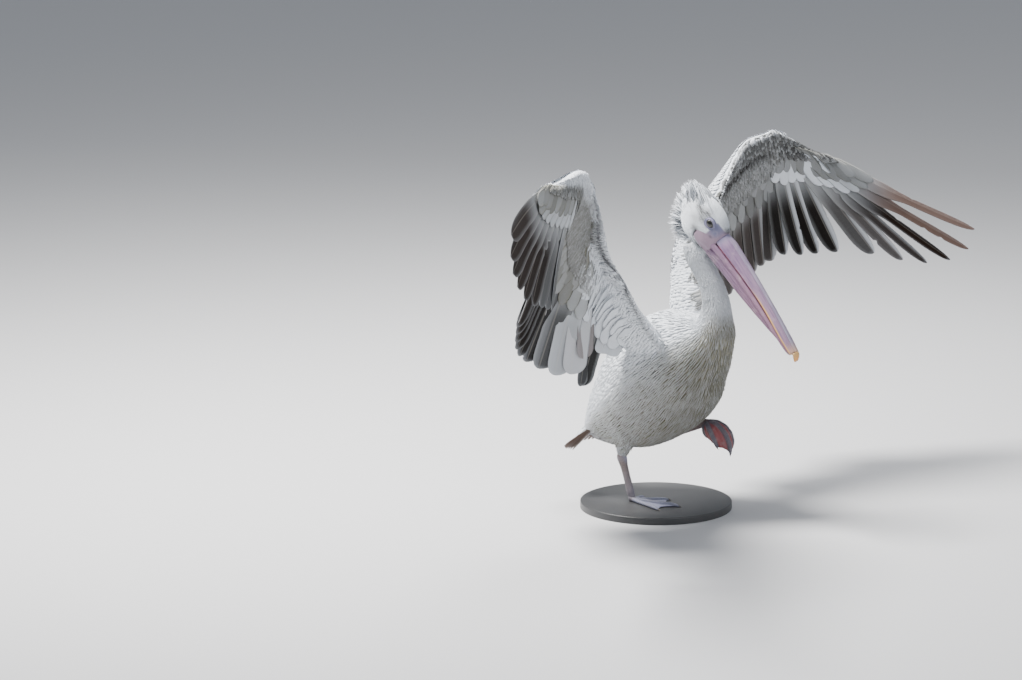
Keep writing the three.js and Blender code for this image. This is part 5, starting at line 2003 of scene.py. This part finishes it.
def lineFrames(line):
    # the ways across and up along a toe's line
    run = unit(np.gradient(line, axis=0))
    side = unit(np.cross(run, [0.0, 0.0, 1.0]))
    for k in range(1, len(side)):
        if side[k] @ side[k - 1] < 0:
            side[k] = -side[k]
    return side, unit(np.cross(side, run))


def toePlace(side, toe, joints):
    def place(s, angle):
        line = toeLine(side, toe, s[:, 0])
        across, up = lineFrames(line)
        size = toe[2] * along(s[:, 0], feet["profile"])
        for joint in joints:
            size = size * (1 + 0.13 * bump(s[:, 0], joint, 0.045))
        size = size[:, None] * (1 + 0.05 * (np.sin(angle) > 0) * np.abs(np.sin(s * toe[0] / 3.2 * math.pi)))
        local = line[:, None] + across[:, None] * (np.cos(angle) * size)[..., None]
        local = local + up[:, None] * (np.sin(angle) * size * 0.9)[..., None]
        return footPlace(side, local), (0.0, s, 0.0, 0.0)

    return place


def webSheet(name, side, first, second):
    web = feet["web"]
    n, m = web["grid"]
    across, share = np.meshgrid(np.linspace(0, 1, n), np.linspace(0, 1, m), indexing="ij")
    edge = web["edge"][side] - web["scoop"][side] * np.sin(math.pi * across)
    t = blend((web["start"], edge), share)
    a, b = toeLine(side, first, t), toeLine(side, second, t)
    middle = a + (b - a) * across[..., None]
    sag = np.sin(math.pi * across) * (0.8 + 0.5 * np.sin(across * 19 + t * 3)) * ease(share, 0.1, 0.5)
    if feet["curl"][side]:
        way = np.gradient(middle, axis=1)
        normal = unit(np.cross(way, b - a))
        middle = middle + normal * (sag * 1.6)[..., None]
    else:
        middle[..., 2] = web["lift"] + 0.9 + 0.35 * sag
        normal = np.broadcast_to([0.0, 0.0, 1.0], middle.shape)
    half = normal * web["thick"] / 2
    faces = [footPlace(side, middle + half).reshape(-1, 3), footPlace(side, middle - half).reshape(-1, 3)]
    i, j = np.meshgrid(np.arange(n - 1), np.arange(m - 1), indexing="ij")
    k = i * m + j
    top = stacked(k, k + m, k + m + 1, k + 1).reshape(-1, 4)
    corners = (0, m - 1, n * m - 1, (n - 1) * m, 0)
    rim = np.concatenate([np.arange(*step) for step in zip(corners[:-1], corners[1:], (1, m, -1, -m))])
    after = np.roll(rim, -1)
    edge = stacked(rim, rim + n * m, after + n * m, after)
    quads = np.concatenate([top, top[:, ::-1] + n * m, edge])
    made = makeMesh(name, np.concatenate(faces), quads)
    turnOut(made)
    return made


def tarsusPlace(side):
    stops = legs[side]["tarsus"]

    def place(s, angle):
        scale = np.abs(np.sin(s * 17 * math.pi)) ** 0.4
        front = 0.5 + 0.5 * np.sin(angle)
        inset = 0.35 - 0.35 * scale * (0.3 + 0.7 * front) - feet["tarsusFuller"] * ease(1 - s, 0, 0.2)
        return tubePoint(s, angle, stops, inset), (0.0, s, 0.0, 0.0)

    return place


def makeFoot(side):
    toes = feet["toes"]
    parts = []
    for k, (toe, joints) in enumerate(zip(toes, feet["joints"])):
        parts.append(sweepPiece(f"toe{k}", *feet["toeRings"], toePlace(side, toe, joints)))
    parts += [webSheet(f"web{k}", side, *pair) for k, pair in enumerate(zip(toes[:-1], toes[1:]))]
    parts.append(sweepPiece("tarsus", *feet["tarsusRings"], tarsusPlace(side)))
    foot = joinPieces(parts, "foot_skin_" + side)
    oneSurface(foot, feet["voxel"], feet["smoothing"])
    smoothShade(foot.data)
    places = toBird(readVertices(foot.data, "co"))
    # which places are on a toe or the leg, and how far down the leg they are
    t = np.linspace(0, 1, 60)
    bones = [footPlace(side, toeLine(side, toe, t)) for toe in toes]
    bones.append(along(t, legs[side]["tarsus"])[:, :3])
    gaps = [np.min([np.linalg.norm(places - point, axis=1) for point in bone], axis=0) for bone in bones]
    toeShare = 1 - ease(np.min(gaps[:-1], axis=0), *feet["toeReach"])
    legShare = 1 - ease(gaps[-1], *feet["legReach"])
    top, bottom = bones[-1][0], bones[-1][-1]
    down = held(((places - top) @ unit(bottom - top)) / np.linalg.norm(bottom - top))
    addLayer(foot.data, "marks", stacked(np.maximum(toeShare, legShare), legShare, down, 0))
    return foot


def clawPlace(side, toe):
    line = toeLine(side, toe, np.array([0.94, 0.985]))
    way = unit(line[1] - line[0])
    down = np.array([0.0, 0.0, -1.0])
    if feet["curl"][side]:
        angle = math.radians(toe[1])
        beside = [math.sin(angle * -feet["mirror"][side]), math.cos(angle), 0]
        down = unit(np.cross(np.cross(way, beside), way))
        down = down if down[2] < 0 or way[2] < -0.5 else -down
    across = unit(np.cross(way, down))
    down = unit(np.cross(across, way)) * np.sign(np.cross(across, way) @ down)

    def place(s, angle):
        long, radius = feet["clawLength"], feet["clawRadius"]
        size = radius * np.clip(1 - s**1.4, 0.05, 1)
        middle = line[1] + way * (s * long - 1.5)[..., None] + down * (1.2 * s**2)[..., None] - down * 0.6
        local = middle + across * (np.cos(angle) * size * 0.85)[..., None]
        local = local - down * (np.sin(angle) * size)[..., None]
        return footPlace(side, local), (s, s, 0.0, 0.0)

    return place


def footFinish(name, web, toe, leg):
    made, paint = newFinish(name, **{"Specular IOR Level": 0.4})
    horny, onLeg, down = paint.layer("marks", 3)
    place = paint.place()
    cloud = noiseOn(paint, place, 70.0, 4.0)
    scales = paint.node("TexVoronoi", {"feature": "DISTANCE_TO_EDGE"}, {"Vector": place, "Scale": 330.0})
    pebble = paint.node("TexVoronoi", None, {"Vector": place, "Scale": 620.0})
    crack = 1 - scales.between(0.0, 0.09)
    colour = paint.over(
        web,
        (horny, toe),
        (onLeg * (1 - down * 0.55), leg),
        (cloud.between(0.45, 0.75) * 0.3, (0.33, 0.29, 0.29)),
        (crack * (0.12 + 0.30 * horny), (0.045, 0.04, 0.045)),
    )
    height = scales.between(0.0, 0.2) * (0.4 + 0.6 * horny) + pebble * 0.25
    return feed(made, paint, colour, 0.45 + 0.2 * cloud, height, 0.0007)


def clawFinish():
    made, paint = newFinish("clawHorn", **{"Coat Weight": 0.3, "Coat Roughness": 0.2})
    cloud = noiseOn(paint, paint.place(), 300.0)
    colour = paint.mix(paint.layer("marks")[0], (0.10, 0.09, 0.09), (0.30, 0.27, 0.24))
    colour = paint.mix(cloud * 0.4, colour, (0.05, 0.04, 0.04))
    return feed(made, paint, colour, 0.3 + 0.2 * cloud)


footSkins = {
    "right": footFinish("standingFootSkin", (0.36, 0.37, 0.52), (0.28, 0.29, 0.38), (0.215, 0.16, 0.135)),
    "left": footFinish("liftedFootSkin", (0.24, 0.065, 0.07), (0.13, 0.12, 0.145), (0.23, 0.15, 0.125)),
}
clawHorn = clawFinish()
for side in wings:
    finishPiece(makeFoot(side), footSkins[side], "leg", "foot_" + side)
    claws = [sweepPiece("claw", *feet["clawRings"], clawPlace(side, toe)) for toe in feet["toes"]]
    finishPiece(joinPieces(claws, "claws_" + side), clawHorn, "leg")
print("feet")


# Base: a round plate with eased edges.
base = {"radius": 190, "thick": 18, "bevel": 3.0, "lowerBevel": 1.2, "sides": 192}


def basePlate():
    r, h, e, low = base["radius"], base["thick"], base["bevel"], base["lowerBevel"]
    arc = np.linspace(0, math.pi / 2, 8)
    profile = [(k * (r - e) / 12, h) for k in range(1, 12)]
    profile += [(r - e + e * math.sin(a), h - e + e * math.cos(a)) for a in arc]
    profile += [(r, h * 0.5)] + [(r - low + low * math.cos(a), low - low * math.sin(a)) for a in arc[::2]]
    profile += [(r * 0.6, 0), (r * 0.3, 0)]
    turn = np.arange(base["sides"]) * fullTurn / base["sides"]
    rings = [[(x * math.cos(w), x * math.sin(w), z) for w in turn] for x, z in profile]
    points = np.array(rings).reshape(-1, 3) - birdOrigin
    quads, fans = ringGrid(len(profile), base["sides"])
    made = makeMesh("basePlate", points, quads, fans)
    turnOut(made)
    faces = made.data.polygons
    faces.foreach_set("use_smooth", np.array([abs(face.normal.z) < 0.999 for face in faces]))
    return made


def baseFinish():
    made, paint = newFinish("basePaint", **{"Coat Roughness": 0.25, "Coat Weight": 0.15})
    place = paint.place()
    cloud = noiseOn(paint, place, 7.0, 5.0)
    grain = noiseOn(paint, place, 1100.0, 2.0)
    colour = paint.mix(cloud.between(0.35, 0.75), (0.045, 0.046, 0.048), (0.060, 0.060, 0.060))
    return feed(made, paint, colour, 0.38 + 0.16 * cloud, grain, 0.00025, 0.35)


finishPiece(basePlate(), baseFinish(), "stand", "stand_base")
print("base")


# Camera, light and floor.
view = {
    "azimuth": math.radians(30),
    "elevation": math.radians(12),
    "distance": 12000,
    "millimetresPerPixel": 2.5,
    "image": (1022, 680),
    "sensor": 36,
    "anchor": (0, -55, 0),  # the standing foot, and where it falls in the image
    "anchorAt": (632, 501),
}


def makeCamera():
    az, el = view["azimuth"], view["elevation"]
    right = np.array([math.cos(az), math.sin(az), 0])
    back = np.array([math.sin(az) * math.cos(el), -math.cos(az) * math.cos(el), math.sin(el)])
    up = np.cross(back, right)
    middle = np.array(view["image"]) / 2
    across, down = (np.array(view["anchorAt"]) - middle) * view["millimetresPerPixel"]
    place = np.array(view["anchor"]) + back * view["distance"] - right * across + up * down
    camera = bpy.data.objects.new("camera", bpy.data.cameras.new("camera"))
    bpy.context.scene.collection.objects.link(camera)
    camera.data.sensor_width = view["sensor"]
    camera.data.lens = view["distance"] / view["millimetresPerPixel"] * view["sensor"] / view["image"][0]
    camera.data.clip_end = 100
    turned = Matrix(stacked(right, up, back).tolist())
    camera.matrix_world = Matrix.Translation(toScene(place)) @ turned.to_4x4()
    bpy.context.scene.camera = camera


studio = {
    "world": ((0.80, 0.85, 0.93), 0.44),
    # name: (azimuth, elevation, distance in metres, size in metres, watts, colour)
    "lamps": {
        "key": (-70, 60, 3.2, 1.2, 400, (1.0, 0.985, 0.96)),
        "fill": (60, 25, 3.4, 2.4, 34, (0.93, 0.96, 1.0)),
        "rim": (200, 45, 3.2, 1.4, 80, (1.0, 1.0, 1.0)),
    },
    "floor": (0.62, 0.62, 0.63),
}


def makeStudio():
    world = bpy.data.worlds.new("studio")
    bpy.context.scene.world = world
    world.use_nodes = True
    colour, strength = studio["world"]
    sky = world.node_tree.nodes["Background"].inputs
    sky["Color"].default_value = (*colour, 1)
    sky["Strength"].default_value = strength
    aim = Vector((0, 0, 0.5))
    for name, (azimuth, elevation, distance, size, watts, colour) in studio["lamps"].items():
        lamp = bpy.data.lights.new(name, "AREA")
        lamp.shape = "DISK"
        lamp.size, lamp.energy, lamp.color = size, watts, colour
        holder = bpy.data.objects.new(name, lamp)
        az, el = math.radians(azimuth), math.radians(elevation)
        way = Vector((math.sin(az) * math.cos(el), -math.cos(az) * math.cos(el), math.sin(el)))
        holder.location = aim + way * distance
        holder.rotation_euler = way.to_track_quat("Z", "Y").to_euler()
        bpy.context.scene.collection.objects.link(holder)
    bpy.ops.mesh.primitive_plane_add(size=60, location=(0, 0, 0))
    floor = bpy.context.object
    floor.name = "floor"
    looks = {"Roughness": 0.9, "Base Color": (*studio["floor"], 1)}
    floor.data.materials.append(newFinish("floor", **looks)[0])


makeCamera()
makeStudio()
print("camera, light and floor")
